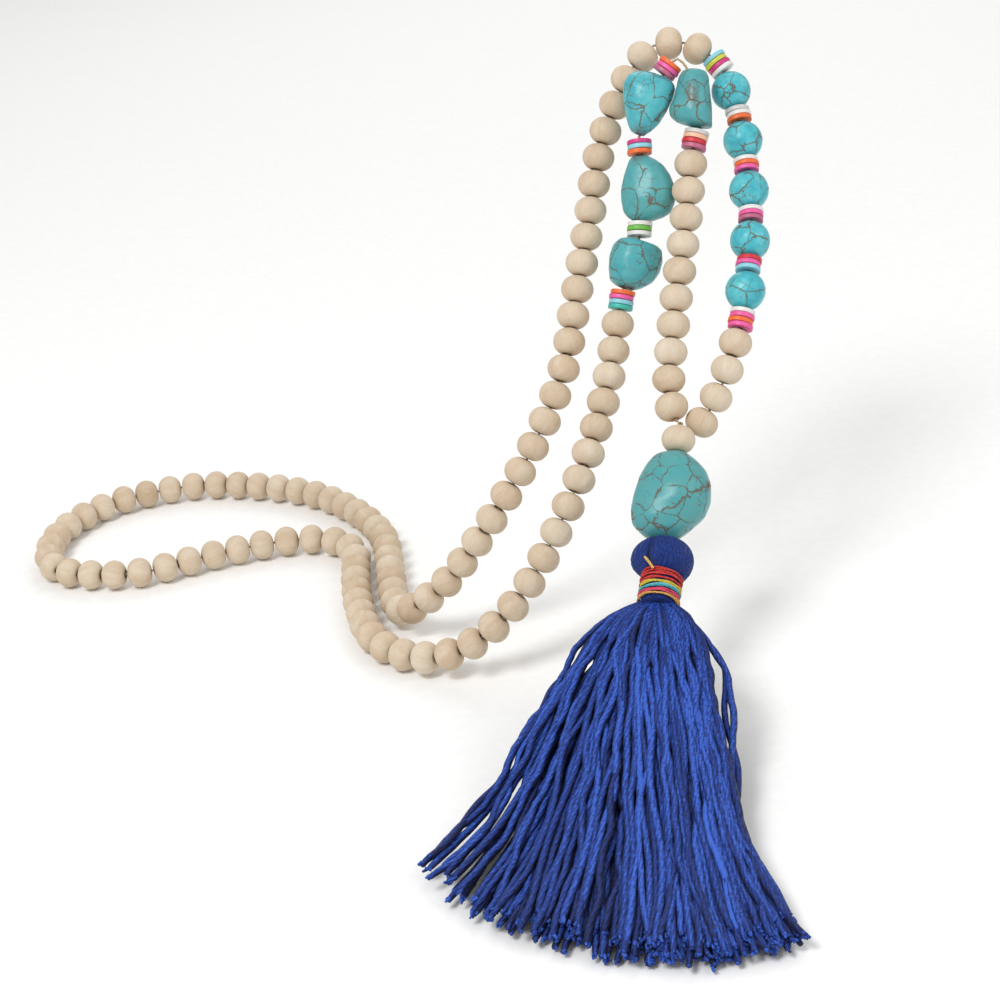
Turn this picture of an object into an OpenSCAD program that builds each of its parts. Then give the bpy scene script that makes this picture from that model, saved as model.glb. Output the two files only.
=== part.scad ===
// Long necklace of wood beads, turquoise stones and coloured discs on one thread,
// with a stone pendant and a cotton tassel. Lengths are millimetres.
// The loop is draped: its top hangs at the origin, its left end and the tassel lie 124 below it.

/* [Wood beads] */
// Diameter of a wood bead
wood_d = 8; // [7.2:0.1:8.2]
// Length of a wood bead along its thread
wood_l = 6.5; // [5.6:0.1:6.9]
// Thread hole of a wood bead
wood_bore = 2; // [1.8:0.1:2.6]

/* [Turquoise stones] */
// Diameter of a round stone
round_d = 9.6; // [8.6:0.1:9.8]
// Thread hole of every stone
stone_bore = 2; // [1.8:0.1:2.6]
// Width of nugget 1, the one beside the hairpin
nugget_1_w = 12.6; // [10.5:0.1:12.8]
// Length of nugget 1 along its thread
nugget_1_l = 15; // [14:0.1:15.6]
// Width of nugget 2, on the right-hand column
nugget_2_w = 10.6; // [8.8:0.1:10.8]
// Length of nugget 2 along its thread
nugget_2_l = 14; // [13:0.1:14.6]
// Width of nugget 3, the longest
nugget_3_w = 13.4; // [11.5:0.1:13.6]
// Length of nugget 3 along its thread
nugget_3_l = 15.6; // [14.5:0.1:16]
// Width of nugget 4, the lowest
nugget_4_w = 13; // [11:0.1:13.2]
// Length of nugget 4 along its thread
nugget_4_l = 12; // [11:0.1:12.6]
// Width of the pendant stone
pendant_w = 19.6; // [16:0.1:21]
// Length of the pendant stone along its thread
pendant_l = 22; // [19:0.1:23]

/* [Clay discs] */
// Diameter of a disc
disc_d = 6; // [5:0.1:6.4]
// Thickness of a disc
disc_t = 1.05; // [0.8:0.05:1.15]
// Thread hole of a disc
disc_bore = 1.8; // [1.6:0.1:2.4]

/* [Thread] */
// Diameter of the thread
thread_d = 0.6; // [0.4:0.05:0.7]
// Clearance between neighbours on the thread
bead_gap = 0.14; // [0.12:0.01:0.2]
// Bare thread at the hairpin between the two columns of nuggets
hairpin_thread = 5.6; // [5:0.1:6.5]

/* [Tassel] */
// Diameter of the ball head
head_d = 14; // [12:0.1:16]
// Length of the ball head, from its top to the binding
head_l = 9; // [8:0.1:11]
// Diameter of the neck under the binding
neck_d = 8.2; // [7:0.1:9]
// Diameter of the binding thread
binding_d = 0.9; // [0.7:0.05:1]
// Length of the skirt in plan, from the neck to the longest tips
skirt_l = 102; // [85:1:115]
// Angle that the skirt's fan opens to
fan_angle = 52; // [40:1:60]
// Thickness of the skirt where it lies flat
skirt_t = 6; // [4:0.1:8]

/* [Hidden] */

// Route of the thread from the joint bead up the left column, over the hairpin, down the nuggets,
// round the long back loop, over the arch and down the right column to the joint bead again.
ROUTE = [
    [-10.9, -52.3, -68.2], [-12, -49.8, -65.5], [-11.2, -45, -60.2], [-7, -34, -45], [-2, -23, -29],
    [1, -15, -17],
    [3.6, -11, -10], [3.8, -6, -1], [2.9, -4, 2.9], [0.9, -2.4, 5], [-1.6, -2.2, 2.9], [-3.4, -3.2, 0.9],
    [-9.5, -6.3, -8.2], [-10.6, -10.3, -16], [-12, -14, -24.6], [-13.4, -19, -34.3], [-18, -23, -43],
    [-21, -28, -52], [-26.5, -40, -65.5], [-36, -54, -81.5], [-48, -61.5, -99], [-58, -64, -109.5],
    [-69, -62, -117], [-80, -55.5, -120], [-89, -44, -120], [-93, -24, -120], [-94, -4, -120],
    [-94.5, 9, -120], [-102, 18.5, -120], [-115, 20.5, -120], [-134, 17, -120], [-154, 11, -120],
    [-174, 17, -120], [-180, 28, -120], [-179.5, 43, -120], [-173, 55, -120], [-162, 63.5, -120],
    [-142, 67, -120], [-123, 61, -120], [-106, 50, -120], [-93.5, 33, -120], [-86.5, 15, -120],
    [-85, -3, -120], [-84, -21, -120], [-82, -32.5, -119], [-77.5, -39.5, -114.5], [-69, -43, -107],
    [-57, -44, -92], [-45.5, -40, -77], [-35.5, -32, -61], [-30, -21, -46], [-24, -10, -29],
    [-20.5, -3, -17.5], [-15, 3, -6.5], [-7, 7, 4.5], [0, 8, 7], [7.5, 6, 5], [12.5, 2.5, -0.5],
    [14.5, -4, -9], [14.5, -14, -21], [13.5, -23, -31], [10.5, -33, -41], [7, -41, -50.5],
    [2, -47.2, -60], [-0.8, -49, -65], [-4.8, -50.5, -70.1], [-7.3, -51.9, -72.6]];

// Curve through the route: each span is a Catmull-Rom cubic, cut into short chords.
SPAN_CHORDS = 12;
function knot(i) = i < 0 ? 2 * ROUTE[0] - ROUTE[1]
    : i >= len(ROUTE) ? 2 * ROUTE[len(ROUTE) - 1] - ROUTE[len(ROUTE) - 2] : ROUTE[i];
function cubic(a, b, c, d, t) =
    0.5 * (2 * b + (c - a) * t + (2 * a - 5 * b + 4 * c - d) * t * t + (3 * b - 3 * c + d - a) * t * t * t);
CURVE = [for (i = [0 : len(ROUTE) - 2], k = [0 : SPAN_CHORDS - 1])
    cubic(knot(i - 1), knot(i), knot(i + 1), knot(i + 2), k / SPAN_CHORDS), ROUTE[len(ROUTE) - 1]];
function run(p, i = 0, s = 0) = [for (k = i, d = s; k < len(p); k = k + 1,
    d = d + (k < len(p) ? norm(p[k] - p[k - 1]) : 0)) d];
RUN = run(CURVE);
LOOP = RUN[len(RUN) - 1];
XS = [for (i = [0 : len(CURVE) - 1]) [RUN[i], CURVE[i][0]]];
YS = [for (i = [0 : len(CURVE) - 1]) [RUN[i], CURVE[i][1]]];
ZS = [for (i = [0 : len(CURVE) - 1]) [RUN[i], CURVE[i][2]]];
function at(s) = [lookup(s, XS), lookup(s, YS), lookup(s, ZS)];
function unit(v) = v / norm(v);
HALF_CHORD = 0.3;
function heading(s) = unit(at(s + HALF_CHORD) - at(s - HALF_CHORD));

// A round stone takes the thread only from mouth to mouth of its hole.
ROUND_L = 2 * sqrt(pow(round_d / 2, 2) - pow(stone_bore / 2, 2));
// Each piece takes its length of the route, and the clearance to the one before it opens where the
// route bends between their middles: by RIM for rounded ends, by STONE_RIM for flat discs on nuggets.
RIM = 1.65;
STONE_RIM = 2.6;
function bend(s, before, after) = acos(min(1, heading(s - before / 2) * heading(s + after / 2)));
function clearance(s, before, after, rim) = bead_gap + rim * sin(bend(s, before, after));
function stack(n) = n * disc_t + (n - 1) * bead_gap;
// Columns of a piece: its length, the rim that it needs, bare thread before it.
function lay(pieces, s, way, i = 0) = i == len(pieces) ? []
    : let (c = pieces[i], before = way * pieces[max(0, i - 1)][0],
        s0 = s + way * (clearance(s, before, way * c[0], c[1]) + c[2]), s1 = s0 + way * c[0])
        concat([[s0, s1]], lay(pieces, s1, way, i + 1));
LEFT_WOOD = 10;
RIGHT_WOOD = 4;
// Dyes of the discs, stack by stack, in the order in which the left and the right column are laid
DISCS_A = [["rosybrown", "crimson", "peachpuff", "gainsboro"], ["orangered", "hotpink", "palevioletred"],
    ["deeppink", "skyblue", "orangered"], ["whitesmoke", "limegreen", "whitesmoke"],
    ["orangered", "hotpink", "skyblue", "turquoise"]];
DISCS_B = [["hotpink", "orangered", "hotpink", "whitesmoke"], ["skyblue", "hotpink", "crimson"],
    ["rosybrown", "hotpink", "whitesmoke"], ["hotpink", "orangered", "whitesmoke"],
    ["orangered", "whitesmoke", "gainsboro"], ["whitesmoke", "deeppink", "yellow", "skyblue"]];
function wood(n) = [for (i = [1 : n]) [wood_l, RIM, 0]];
function round_and_discs(discs) = [[ROUND_L, RIM, 0], [stack(len(discs)), RIM, 0]];
function nugget_and_discs(l, discs) = [[l, STONE_RIM, 0], [stack(len(discs)), STONE_RIM, 0]];
LEFT_PIECES = concat(wood(LEFT_WOOD), [[stack(len(DISCS_A[0])), RIM, 0], [nugget_2_l, STONE_RIM, 0],
    [stack(len(DISCS_A[1])), 0, hairpin_thread]], nugget_and_discs(nugget_1_l, DISCS_A[2]),
    nugget_and_discs(nugget_3_l, DISCS_A[3]), nugget_and_discs(nugget_4_l, DISCS_A[4]));
RIGHT_PIECES = concat(wood(RIGHT_WOOD), [[stack(len(DISCS_B[0])), RIM, 0]],
    [for (n = [1 : len(DISCS_B) - 1]) each round_and_discs(DISCS_B[n])]);
// Bare thread between the joint bead's mouth and the first bead of each column, and at the arch's end
LEAD = 0.5;
LEFT = lay(LEFT_PIECES, LEAD, 1);
RIGHT = lay(RIGHT_PIECES, LOOP - LEAD, -1);
// Places beyond the wood beads of a column, counted from its lowest stack of discs
function left(i) = LEFT[LEFT_WOOD + i];
function right(i) = RIGHT[RIGHT_WOOD + i];
BACK_START = LEFT[len(LEFT) - 1][1];
BACK_END = RIGHT[len(RIGHT) - 1][1] - 2 * LEAD;

// The back loop is filled with wood beads, and what is left over is shared between their clearances.
function fill(s, more) = let (s0 = s + clearance(s, wood_l, wood_l, RIM) + more, s1 = s0 + wood_l)
    s1 > BACK_END ? [] : concat([[s0, s1]], fill(s1, more));
LOOSE = fill(BACK_START, 0);
BACK = fill(BACK_START, (BACK_END - LOOSE[len(LOOSE) - 1][1]) / (len(LOOSE) + 1));
HALF = floor(len(BACK) / 2);

// Frame of a piece whose thread runs from p to q: x to the right, y to the back, z along the thread.
BACKWARD = [0, 0.8, -0.6];
function frame(p, q) = let (z = unit(q - p), x = unit(cross(BACKWARD, z)), y = cross(z, x), m = (p + q) / 2)
    [[x[0], y[0], z[0], m[0]], [x[1], y[1], z[1], m[1]], [x[2], y[2], z[2], m[2]], [0, 0, 0, 1]];

// The drop: joint bead, pendant and head lie one below the other on the doubled thread.
JOINT = [-11, -55.5, -71.5];
DROP_1 = unit([-0.24, -0.66, -0.71]);
DROP_2 = unit([-0.26, -0.82, -0.52]);
PENDANT_TOP = JOINT + DROP_1 * (wood_l / 2 + bead_gap);
// Clearance between the pendant and the head, where the drop bends
HEAD_GAP = 0.8;
PENDANT_END = PENDANT_TOP + DROP_1 * pendant_l;
HEAD_TOP = PENDANT_END + (DROP_1 + DROP_2) * HEAD_GAP / 2;

// Bindings from the head downwards: the middle of each turn, in turns of the binding thread. The turns
// lie clear of one another and of the neck, which runs on under them to the skirt.
TURN_GAP = 0.15;
BINDING_GAP = 0.12;
TURN = binding_d + TURN_GAP;
BINDING_RED = [0.5, 1.5, 2.5];
BINDING_YELLOW = [3.5];
BINDING_TURQUOISE = [4.5];
BINDING_CRIMSON = [5.5];
BINDING_GOLD = [6.5];
NECK_L = (BINDING_GOLD[0] + 0.9) * TURN;
// Radius of the ball's round side, a little more than half its length: its ends are cut flat
HEAD_R = head_l * 0.52;
// The ball stands this far up from the drop's bend
HEAD_LIFT = 0.5;
NECK_END = HEAD_TOP + DROP_2 * (head_l + NECK_L);

// Solid through rings of points, each ring with as many points as the next, closed at both ends
module loft(rings) {
    n = len(rings[0]);
    m = len(rings);
    sides = [for (i = [0 : m - 2], j = [0 : n - 1]) let (a = i * n + j, b = i * n + (j + 1) % n)
        each [[a, a + n, b], [b, a + n, b + n]]];
    start = [for (j = [1 : n - 2]) [0, j, j + 1]];
    end = [for (j = [1 : n - 2]) [(m - 1) * n, (m - 1) * n + j + 1, (m - 1) * n + j]];
    polyhedron([for (r = rings) each r], concat(sides, start, end));
}

module wood_bead(p, q) {
    multmatrix(frame(p, q)) rotate_extrude($fn = 32) intersection() {
        translate([(wood_d - wood_l) / 2, 0]) circle(d = wood_l, $fn = 24);
        translate([wood_bore / 2, -wood_l]) square([wood_d, 2 * wood_l]);
    }
}

module wood_string(places) {
    color("burlywood") for (s = places) wood_bead(at(s[0]), at(s[1]));
}

module round_stone(place) {
    color("mediumturquoise") multmatrix(frame(at(place[0]), at(place[1]))) difference() {
        sphere(d = round_d, $fn = 32);
        cylinder(d = stone_bore, h = 2 * round_d, center = true, $fn = 24);
    }
}

// Stack of discs on the route: each disc sits a little off the thread, by a share of the play of its
// hole, and the next one off to another side
DISC_PLAY = 0.1;
DISC_TURN = 140;
// Turn of the discs from one stack to the next, and of the right column's first stack
STACK_TURN = 50;
RIGHT_TURN = 30;
module disc_stack(place, colours, turn) {
    shift = (disc_bore - thread_d) * DISC_PLAY;
    multmatrix(frame(at(place[0]), at(place[1]))) for (i = [0 : len(colours) - 1])
        translate([shift * cos(turn + DISC_TURN * i), shift * sin(turn + DISC_TURN * i),
            (i - (len(colours) - 1) / 2) * (disc_t + bead_gap)])
            color(colours[i]) difference() {
                cylinder(d = disc_d, h = disc_t, center = true, $fn = 32);
                cylinder(d = disc_bore, h = 3 * disc_t, center = true, $fn = 24);
            }
}

// Sections of a tumbled stone, from its lower end up. Columns: place along its length, half width
// and half depth as shares of its width, how far its middle lies to the right of the thread and
// behind it, and how far its right side rises, as shares of its width too.
NUGGET_1 = [[0, 0.13, 0.13, -0.03, 0, 0], [0.05, 0.19, 0.19, -0.05, 0, 0], [0.15, 0.28, 0.27, -0.07, 0, -0.02],
    [0.3, 0.38, 0.36, -0.09, 0, -0.02], [0.5, 0.47, 0.42, -0.12, 0, 0], [0.7, 0.5, 0.42, -0.14, 0, 0.03],
    [0.86, 0.47, 0.37, -0.14, 0, 0.04], [0.96, 0.37, 0.27, -0.14, 0.01, 0.03], [1, 0.2, 0.17, -0.1, 0.01, 0]];
NUGGET_2 = [[0, 0.18, 0.16, 0.02, 0, -0.04], [0.03, 0.35, 0.3, -0.05, 0, -0.12],
    [0.11, 0.45, 0.39, -0.1, 0, -0.2],
    [0.24, 0.46, 0.43, -0.09, 0, -0.19], [0.45, 0.42, 0.43, 0, 0.01, -0.12],
    [0.68, 0.39, 0.39, 0.06, 0.01, -0.06],
    [0.87, 0.35, 0.33, 0.11, 0.01, -0.04], [0.97, 0.27, 0.24, 0.12, 0, -0.02], [1, 0.16, 0.15, 0.03, 0, 0]];
NUGGET_3 = [[0, 0.18, 0.17, 0.07, 0, 0], [0.04, 0.3, 0.27, 0.1, 0, 0], [0.13, 0.42, 0.37, 0.13, 0.01, -0.02],
    [0.3, 0.48, 0.42, 0.15, 0.01, -0.02], [0.5, 0.475, 0.41, 0.16, 0.01, 0], [0.7, 0.41, 0.36, 0.14, 0, 0.01],
    [0.85, 0.32, 0.29, 0.1, 0, 0.01], [0.95, 0.23, 0.2, 0.05, 0, 0], [1, 0.14, 0.13, 0.02, 0, 0]];
NUGGET_4 = [[0, 0.14, 0.14, 0.02, 0, 0], [0.05, 0.25, 0.25, 0.05, 0, 0.03],
    [0.18, 0.39, 0.37, 0.07, 0.01, 0.09],
    [0.4, 0.48, 0.43, 0.07, 0.01, 0.11], [0.64, 0.5, 0.43, 0.04, 0.01, 0.11], [0.86, 0.46, 0.38, 0, 0, 0.08],
    [0.97, 0.36, 0.31, -0.02, 0, 0.04], [1, 0.2, 0.2, -0.01, 0, 0]];
PENDANT = [[0, 0.1, 0.1, -0.01, 0, 0], [0.03, 0.16, 0.17, -0.03, 0, 0.02], [0.11, 0.27, 0.29, -0.01, 0, 0.06],
    [0.24, 0.41, 0.38, 0.01, 0, 0.1], [0.4, 0.46, 0.42, 0.02, 0, 0.1], [0.57, 0.45, 0.41, 0.02, 0, 0.1],
    [0.74, 0.39, 0.36, 0, 0, 0.07], [0.88, 0.29, 0.28, -0.03, 0, 0.04], [0.97, 0.2, 0.18, -0.04, 0, 0.01],
    [1, 0.11, 0.11, 0, 0, 0]];
// Turn of each stone's section at its lower end, in degrees, and how far it turns on to the upper end
LEANS = [40, 200, 110, 300];
PENDANT_LEAN = 150;
STONE_TWIST = 60;
STONE_SIDES = 16;
// Round a stone the section swells and flattens: a blunt three-sided form
THREE_SIDED = 0.05;
FLATTENED = 0.03;
function swell(a, lean) = 1 + THREE_SIDED * cos(3 * a + lean) - FLATTENED * cos(2 * a - lean);
function stone_rings(table, w, l, lean) = [for (r = table) [for (j = [0 : STONE_SIDES - 1])
    let (a = 360 * j / STONE_SIDES, k = swell(a, lean + STONE_TWIST * r[0]))
        [w * (r[3] + r[1] * k * cos(a)), w * (r[4] + r[2] * k * sin(a)),
         l * (r[0] - 0.5) + w * r[5] * cos(a)]]];

module stone(low, high, table, w, lean) {
    l = norm(high - low);
    color("turquoise") multmatrix(frame(low, high)) difference() {
        loft(stone_rings(table, w, l, lean));
        cylinder(d = stone_bore, h = 2 * l, center = true, $fn = 24);
    }
}

module stone_up(place, table, w, lean) { stone(at(place[0]), at(place[1]), table, w, lean); }
module stone_down(place, table, w, lean) { stone(at(place[1]), at(place[0]), table, w, lean); }

// Thread: both its ends lie in the head, and it passes the pendant and the joint bead doubled.
THREAD_SIDES = 6;
// The two runs of the drop lie side by side, each this far from the middle
BESIDE = thread_d * 0.65;
SIDE = unit(cross(BACKWARD, DROP_1));
HAIRPIN_STEPS = 4;
// The ends stop at this share of the ball's length
THREAD_IN = 0.3;
HEAD_IN = HEAD_TOP + DROP_2 * head_l * THREAD_IN;
function middle(a, b) = at((a[1] + b[0]) / 2);
DROP = [HEAD_IN, PENDANT_END, JOINT + DROP_1 * wood_l / 2, JOINT - DROP_1 * (wood_l / 2 + 2 * LEAD)];
LEFT_KNOTS = [at(0), for (i = [1 : len(LEFT) - 1])
    each (i == LEFT_WOOD + 2
        ? [for (k = [0 : HAIRPIN_STEPS])
            at(LEFT[i - 1][1] + (LEFT[i][0] - LEAD - LEFT[i - 1][1]) * k / HAIRPIN_STEPS)]
        : [middle(LEFT[i - 1], LEFT[i])])];
BACK_KNOTS = [at((BACK_START + BACK[0][0]) / 2), for (i = [1 : len(BACK) - 1]) middle(BACK[i - 1], BACK[i])];
RIGHT_KNOTS = [at(LOOP), for (i = [1 : len(RIGHT) - 1]) middle(RIGHT[i - 1], RIGHT[i]), at(BACK_END)];
function back_to_front(list) = [for (i = [len(list) - 1 : -1 : 0]) list[i]];
THREAD = concat([for (p = DROP) p - SIDE * BESIDE], LEFT_KNOTS, BACK_KNOTS, back_to_front(RIGHT_KNOTS),
    [for (p = back_to_front(DROP)) p + SIDE * BESIDE]);
function ring(p, way, r) = let (x = unit(cross(BACKWARD, way)), y = cross(way, x))
    [for (j = [0 : THREAD_SIDES - 1]) let (a = 360 * j / THREAD_SIDES) p + r * (cos(a) * x + sin(a) * y)];

// Skirt: locks fan out from the neck and come down to lie on the level of the back loop.
FLOOR = -124;
LOCKS = 19;
SKIRT_STEPS = 11;
ACROSS = unit([-DROP_2[1], DROP_2[0], 0]);
// Columns: place across the fan from left to right, direction of the tip as a share of fan_angle,
// distance of the tip as a share of skirt_l.
TIPS = [[-1, -0.71, 0.83], [-0.75, -0.46, 0.89], [-0.5, -0.27, 0.95], [-0.2, -0.08, 0.98], [0.2, 0.08, 1],
    [0.6, 0.2, 0.99], [1, 0.29, 0.98]];
TIP_TURNS = [for (t = TIPS) [t[0], t[1]]];
TIP_REACH = [for (t = TIPS) [t[0], t[2]]];
FAN_HEADING = -96.5;
// How far the outermost locks lie beyond the fan's edges
FAN_EDGE = 1.05;
// A lock's path is a Bezier cubic. It starts this far up in the neck, across a share of its diameter,
ROOT_DEPTH = 0.4;
ROOT_WIDTH = 0.32;
// leaves along the drop by a share of skirt_l and spreads sideways, wider on the left than on the right,
DROP_REACH = 0.14;
SPREAD_LEFT = 0.23;
SPREAD_RIGHT = 0.19;
// and comes down to the floor at a share of the way back from its tip, the right-hand ones drawn in.
TIP_BACK = 0.45;
DRAWN_IN = 0.08;
// Heights of the path above the floor, at its tip and where it lands, as shares of skirt_t
TIP_RISE = 0.38;
LANDING_RISE = 0.5;
function tip(u) = let (a = FAN_HEADING + fan_angle * lookup(u, TIP_TURNS), l = skirt_l * lookup(u, TIP_REACH))
    [NECK_END[0] + l * cos(a), NECK_END[1] + l * sin(a), FLOOR + skirt_t * TIP_RISE];
function bezier(a, b, c, d, t) =
    a * pow(1 - t, 3) + 3 * b * t * pow(1 - t, 2) + 3 * c * t * t * (1 - t) + d * pow(t, 3);
function lock_path(u, t) =
    let (a = NECK_END - DROP_2 * ROOT_DEPTH + ACROSS * u * neck_d * ROOT_WIDTH, d = tip(u),
        b = NECK_END + skirt_l * (DROP_2 * DROP_REACH + ACROSS * u * (u < 0 ? SPREAD_LEFT : SPREAD_RIGHT)),
        c = d + (NECK_END - d) * TIP_BACK - ACROSS * max(0, u) * skirt_l * DRAWN_IN)
        bezier(a, b, [c[0], c[1], FLOOR + skirt_t * LANDING_RISE], d, t);
// Half thickness of the skirt along its length, and depth of the furrows between locks, as shares
SKIRT_FORM = [[0, 0.34], [0.1, 0.62], [0.3, 0.62], [0.6, 0.5], [1, 0.36]];
FURROW = [[0, 0.75], [0.15, 0.6], [0.5, 0.4], [0.85, 0.15], [1, -0.3]];
CREST = [0, 0.8, 1, 0.8];
// How far each lock, and each furrow between two, reaches: the tips are ragged
FURROW_REACH = 0.93;
RAGGED = 0.03;
RAGGED_TURN = 150;
SHOULDER_BACK = 0.012;
function reach(j) = j % 4 == 0 ? FURROW_REACH
    : 1 - RAGGED * (1 + sin(RAGGED_TURN * floor(j / 4))) - (j % 4 == 2 ? 0 : SHOULDER_BACK);
// Half of the step that gives the direction of a lock's path
HALF_STEP = 0.02;
function skirt_point(j, k, side) =
    let (u = (j / (4 * LOCKS) * 2 - 1) * FAN_EDGE, t = reach(j) * k / SKIRT_STEPS, p = lock_path(u, t),
        way = unit(lock_path(u, t + HALF_STEP) - lock_path(u, t - HALF_STEP)),
        up = unit(cross(cross(way, [0, 0, 1]), way)),
        h = skirt_t * lookup(t, SKIRT_FORM), f = lookup(t, FURROW),
        v = p + up * h * side * (f + (1 - f) * CREST[j % 4])) [v[0], v[1], max(v[2], FLOOR)];
// Each ring of the skirt has points under the furrows and the crests, and two more between them on top
SKIRT_N = 6 * LOCKS + 2;
SKIRT_POINTS = [for (k = [0 : SKIRT_STEPS]) each concat([for (m = [0 : 2 * LOCKS]) skirt_point(2 * m, k, -1)],
    [for (j = [4 * LOCKS : -1 : 0]) skirt_point(j, k, 1)])];
function under(m) = m;
function over(j) = 6 * LOCKS + 1 - j;
SKIRT_CAP = [for (m = [0 : 2 * LOCKS - 1]) each [[under(m), over(2 * m), over(2 * m + 1)],
    [under(m), over(2 * m + 1), under(m + 1)], [under(m + 1), over(2 * m + 1), over(2 * m + 2)]]];
SKIRT_SIDES = [for (k = [0 : SKIRT_STEPS - 1], j = [0 : SKIRT_N - 1])
    let (a = k * SKIRT_N + j, b = k * SKIRT_N + (j + 1) % SKIRT_N)
        each [[a, a + SKIRT_N, b], [b, a + SKIRT_N, b + SKIRT_N]]];
function flipped(f) = [f[2], f[1], f[0]];
SKIRT_FACES = concat(SKIRT_SIDES, [for (f = SKIRT_CAP) flipped(f)],
    [for (f = SKIRT_CAP) f + SKIRT_STEPS * SKIRT_N * [1, 1, 1]]);

module along_neck() {
    multmatrix(frame(HEAD_TOP, HEAD_TOP + DROP_2)) translate([0, 0, -HEAD_LIFT]) children();
}

module tassel() {
    color("royalblue") {
        along_neck() difference() {
            union() {
                rotate_extrude($fn = 32) intersection() {
                    translate([head_d / 2 - HEAD_R, HEAD_R]) circle(r = HEAD_R, $fn = 32);
                    square([head_d, 2 * head_l]);
                }
                cylinder(d = neck_d, h = head_l + NECK_L, $fn = 32);
            }
            cylinder(d = stone_bore, h = head_l, center = true, $fn = 24);
        }
        polyhedron(SKIRT_POINTS, SKIRT_FACES);
    }
}

module binding(turns) {
    for (t = turns) along_neck() translate([0, 0, head_l + t * TURN])
        rotate_extrude($fn = 40)
            translate([(neck_d + binding_d) / 2 + BINDING_GAP, 0]) circle(d = binding_d, $fn = 16);
}

module left_discs(i) { disc_stack(left(2 * i), DISCS_A[i], i * STACK_TURN); }
module right_discs(i) { disc_stack(right(2 * i), DISCS_B[i], RIGHT_TURN + i * STACK_TURN); }

module joint_bead() { color("burlywood") wood_bead(JOINT - DROP_1 * wood_l / 2, JOINT + DROP_1 * wood_l / 2); }
module beads_front_left() { wood_string([for (i = [0 : LEFT_WOOD - 1]) LEFT[i]]); }
module beads_front_right() { wood_string([for (i = [0 : RIGHT_WOOD - 1]) RIGHT[i]]); }
module beads_back_inner() { wood_string([for (i = [0 : HALF - 1]) BACK[i]]); }
module beads_back_outer() { wood_string([for (i = [HALF : len(BACK) - 1]) BACK[i]]); }
module turquoise_round_1() { round_stone(right(9)); }
module turquoise_round_2() { round_stone(right(7)); }
module turquoise_round_3() { round_stone(right(5)); }
module turquoise_round_4() { round_stone(right(3)); }
module turquoise_round_5() { round_stone(right(1)); }
module nugget_1() { stone_down(left(3), NUGGET_1, nugget_1_w, LEANS[0]); }
module nugget_2() { stone_up(left(1), NUGGET_2, nugget_2_w, LEANS[1]); }
module nugget_3() { stone_down(left(5), NUGGET_3, nugget_3_w, LEANS[2]); }
module nugget_4() { stone_down(left(7), NUGGET_4, nugget_4_w, LEANS[3]); }
module pendant_nugget() { stone(PENDANT_END, PENDANT_TOP, PENDANT, pendant_w, PENDANT_LEAN); }
module discs_a0() { left_discs(0); }
module discs_a1() { left_discs(1); }
module discs_a2() { left_discs(2); }
module discs_a3() { left_discs(3); }
module discs_a4() { left_discs(4); }
module discs_b0() { right_discs(0); }
module discs_b1() { right_discs(1); }
module discs_b2() { right_discs(2); }
module discs_b3() { right_discs(3); }
module discs_b4() { right_discs(4); }
module discs_b5() { right_discs(5); }
module thread() {
    n = len(THREAD);
    color("tan") loft([for (i = [0 : n - 1])
        ring(THREAD[i], unit(THREAD[min(i + 1, n - 1)] - THREAD[max(i - 1, 0)]), thread_d / 2)]);
}
module binding_red() { color("crimson") binding(BINDING_RED); }
module binding_yellow() { color("gold") binding(BINDING_YELLOW); }
module binding_turquoise() { color("turquoise") binding(BINDING_TURQUOISE); }
module binding_crimson() { color("deeppink") binding(BINDING_CRIMSON); }
module binding_gold() { color("orange") binding(BINDING_GOLD); }

joint_bead();
beads_front_left();
beads_front_right();
beads_back_inner();
beads_back_outer();
turquoise_round_1();
turquoise_round_2();
turquoise_round_3();
turquoise_round_4();
turquoise_round_5();
nugget_1();
nugget_2();
nugget_3();
nugget_4();
pendant_nugget();
discs_a0();
discs_a1();
discs_a2();
discs_a3();
discs_a4();
discs_b0();
discs_b1();
discs_b2();
discs_b3();
discs_b4();
discs_b5();
thread();
tassel();
binding_red();
binding_yellow();
binding_turquoise();
binding_crimson();
binding_gold();
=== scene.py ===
"""Looks of the tassel necklace: wood beads, turquoise stones, clay discs and a cotton tassel."""

import math

import bpy
import numpy as np
from mathutils import Matrix, Vector


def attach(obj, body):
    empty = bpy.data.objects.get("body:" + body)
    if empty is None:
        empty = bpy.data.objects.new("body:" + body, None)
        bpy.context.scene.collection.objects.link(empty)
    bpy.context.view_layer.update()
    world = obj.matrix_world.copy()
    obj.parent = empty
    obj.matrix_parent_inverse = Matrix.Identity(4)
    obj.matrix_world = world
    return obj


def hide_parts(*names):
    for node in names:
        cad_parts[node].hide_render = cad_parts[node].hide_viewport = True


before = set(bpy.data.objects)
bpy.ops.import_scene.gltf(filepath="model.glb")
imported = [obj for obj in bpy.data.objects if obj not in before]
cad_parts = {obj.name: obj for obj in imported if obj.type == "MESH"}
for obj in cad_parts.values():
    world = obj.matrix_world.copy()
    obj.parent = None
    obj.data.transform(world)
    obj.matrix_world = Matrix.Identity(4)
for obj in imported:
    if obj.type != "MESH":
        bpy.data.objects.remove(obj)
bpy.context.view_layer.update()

MM = 0.001
random = np.random.default_rng(8)

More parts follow.
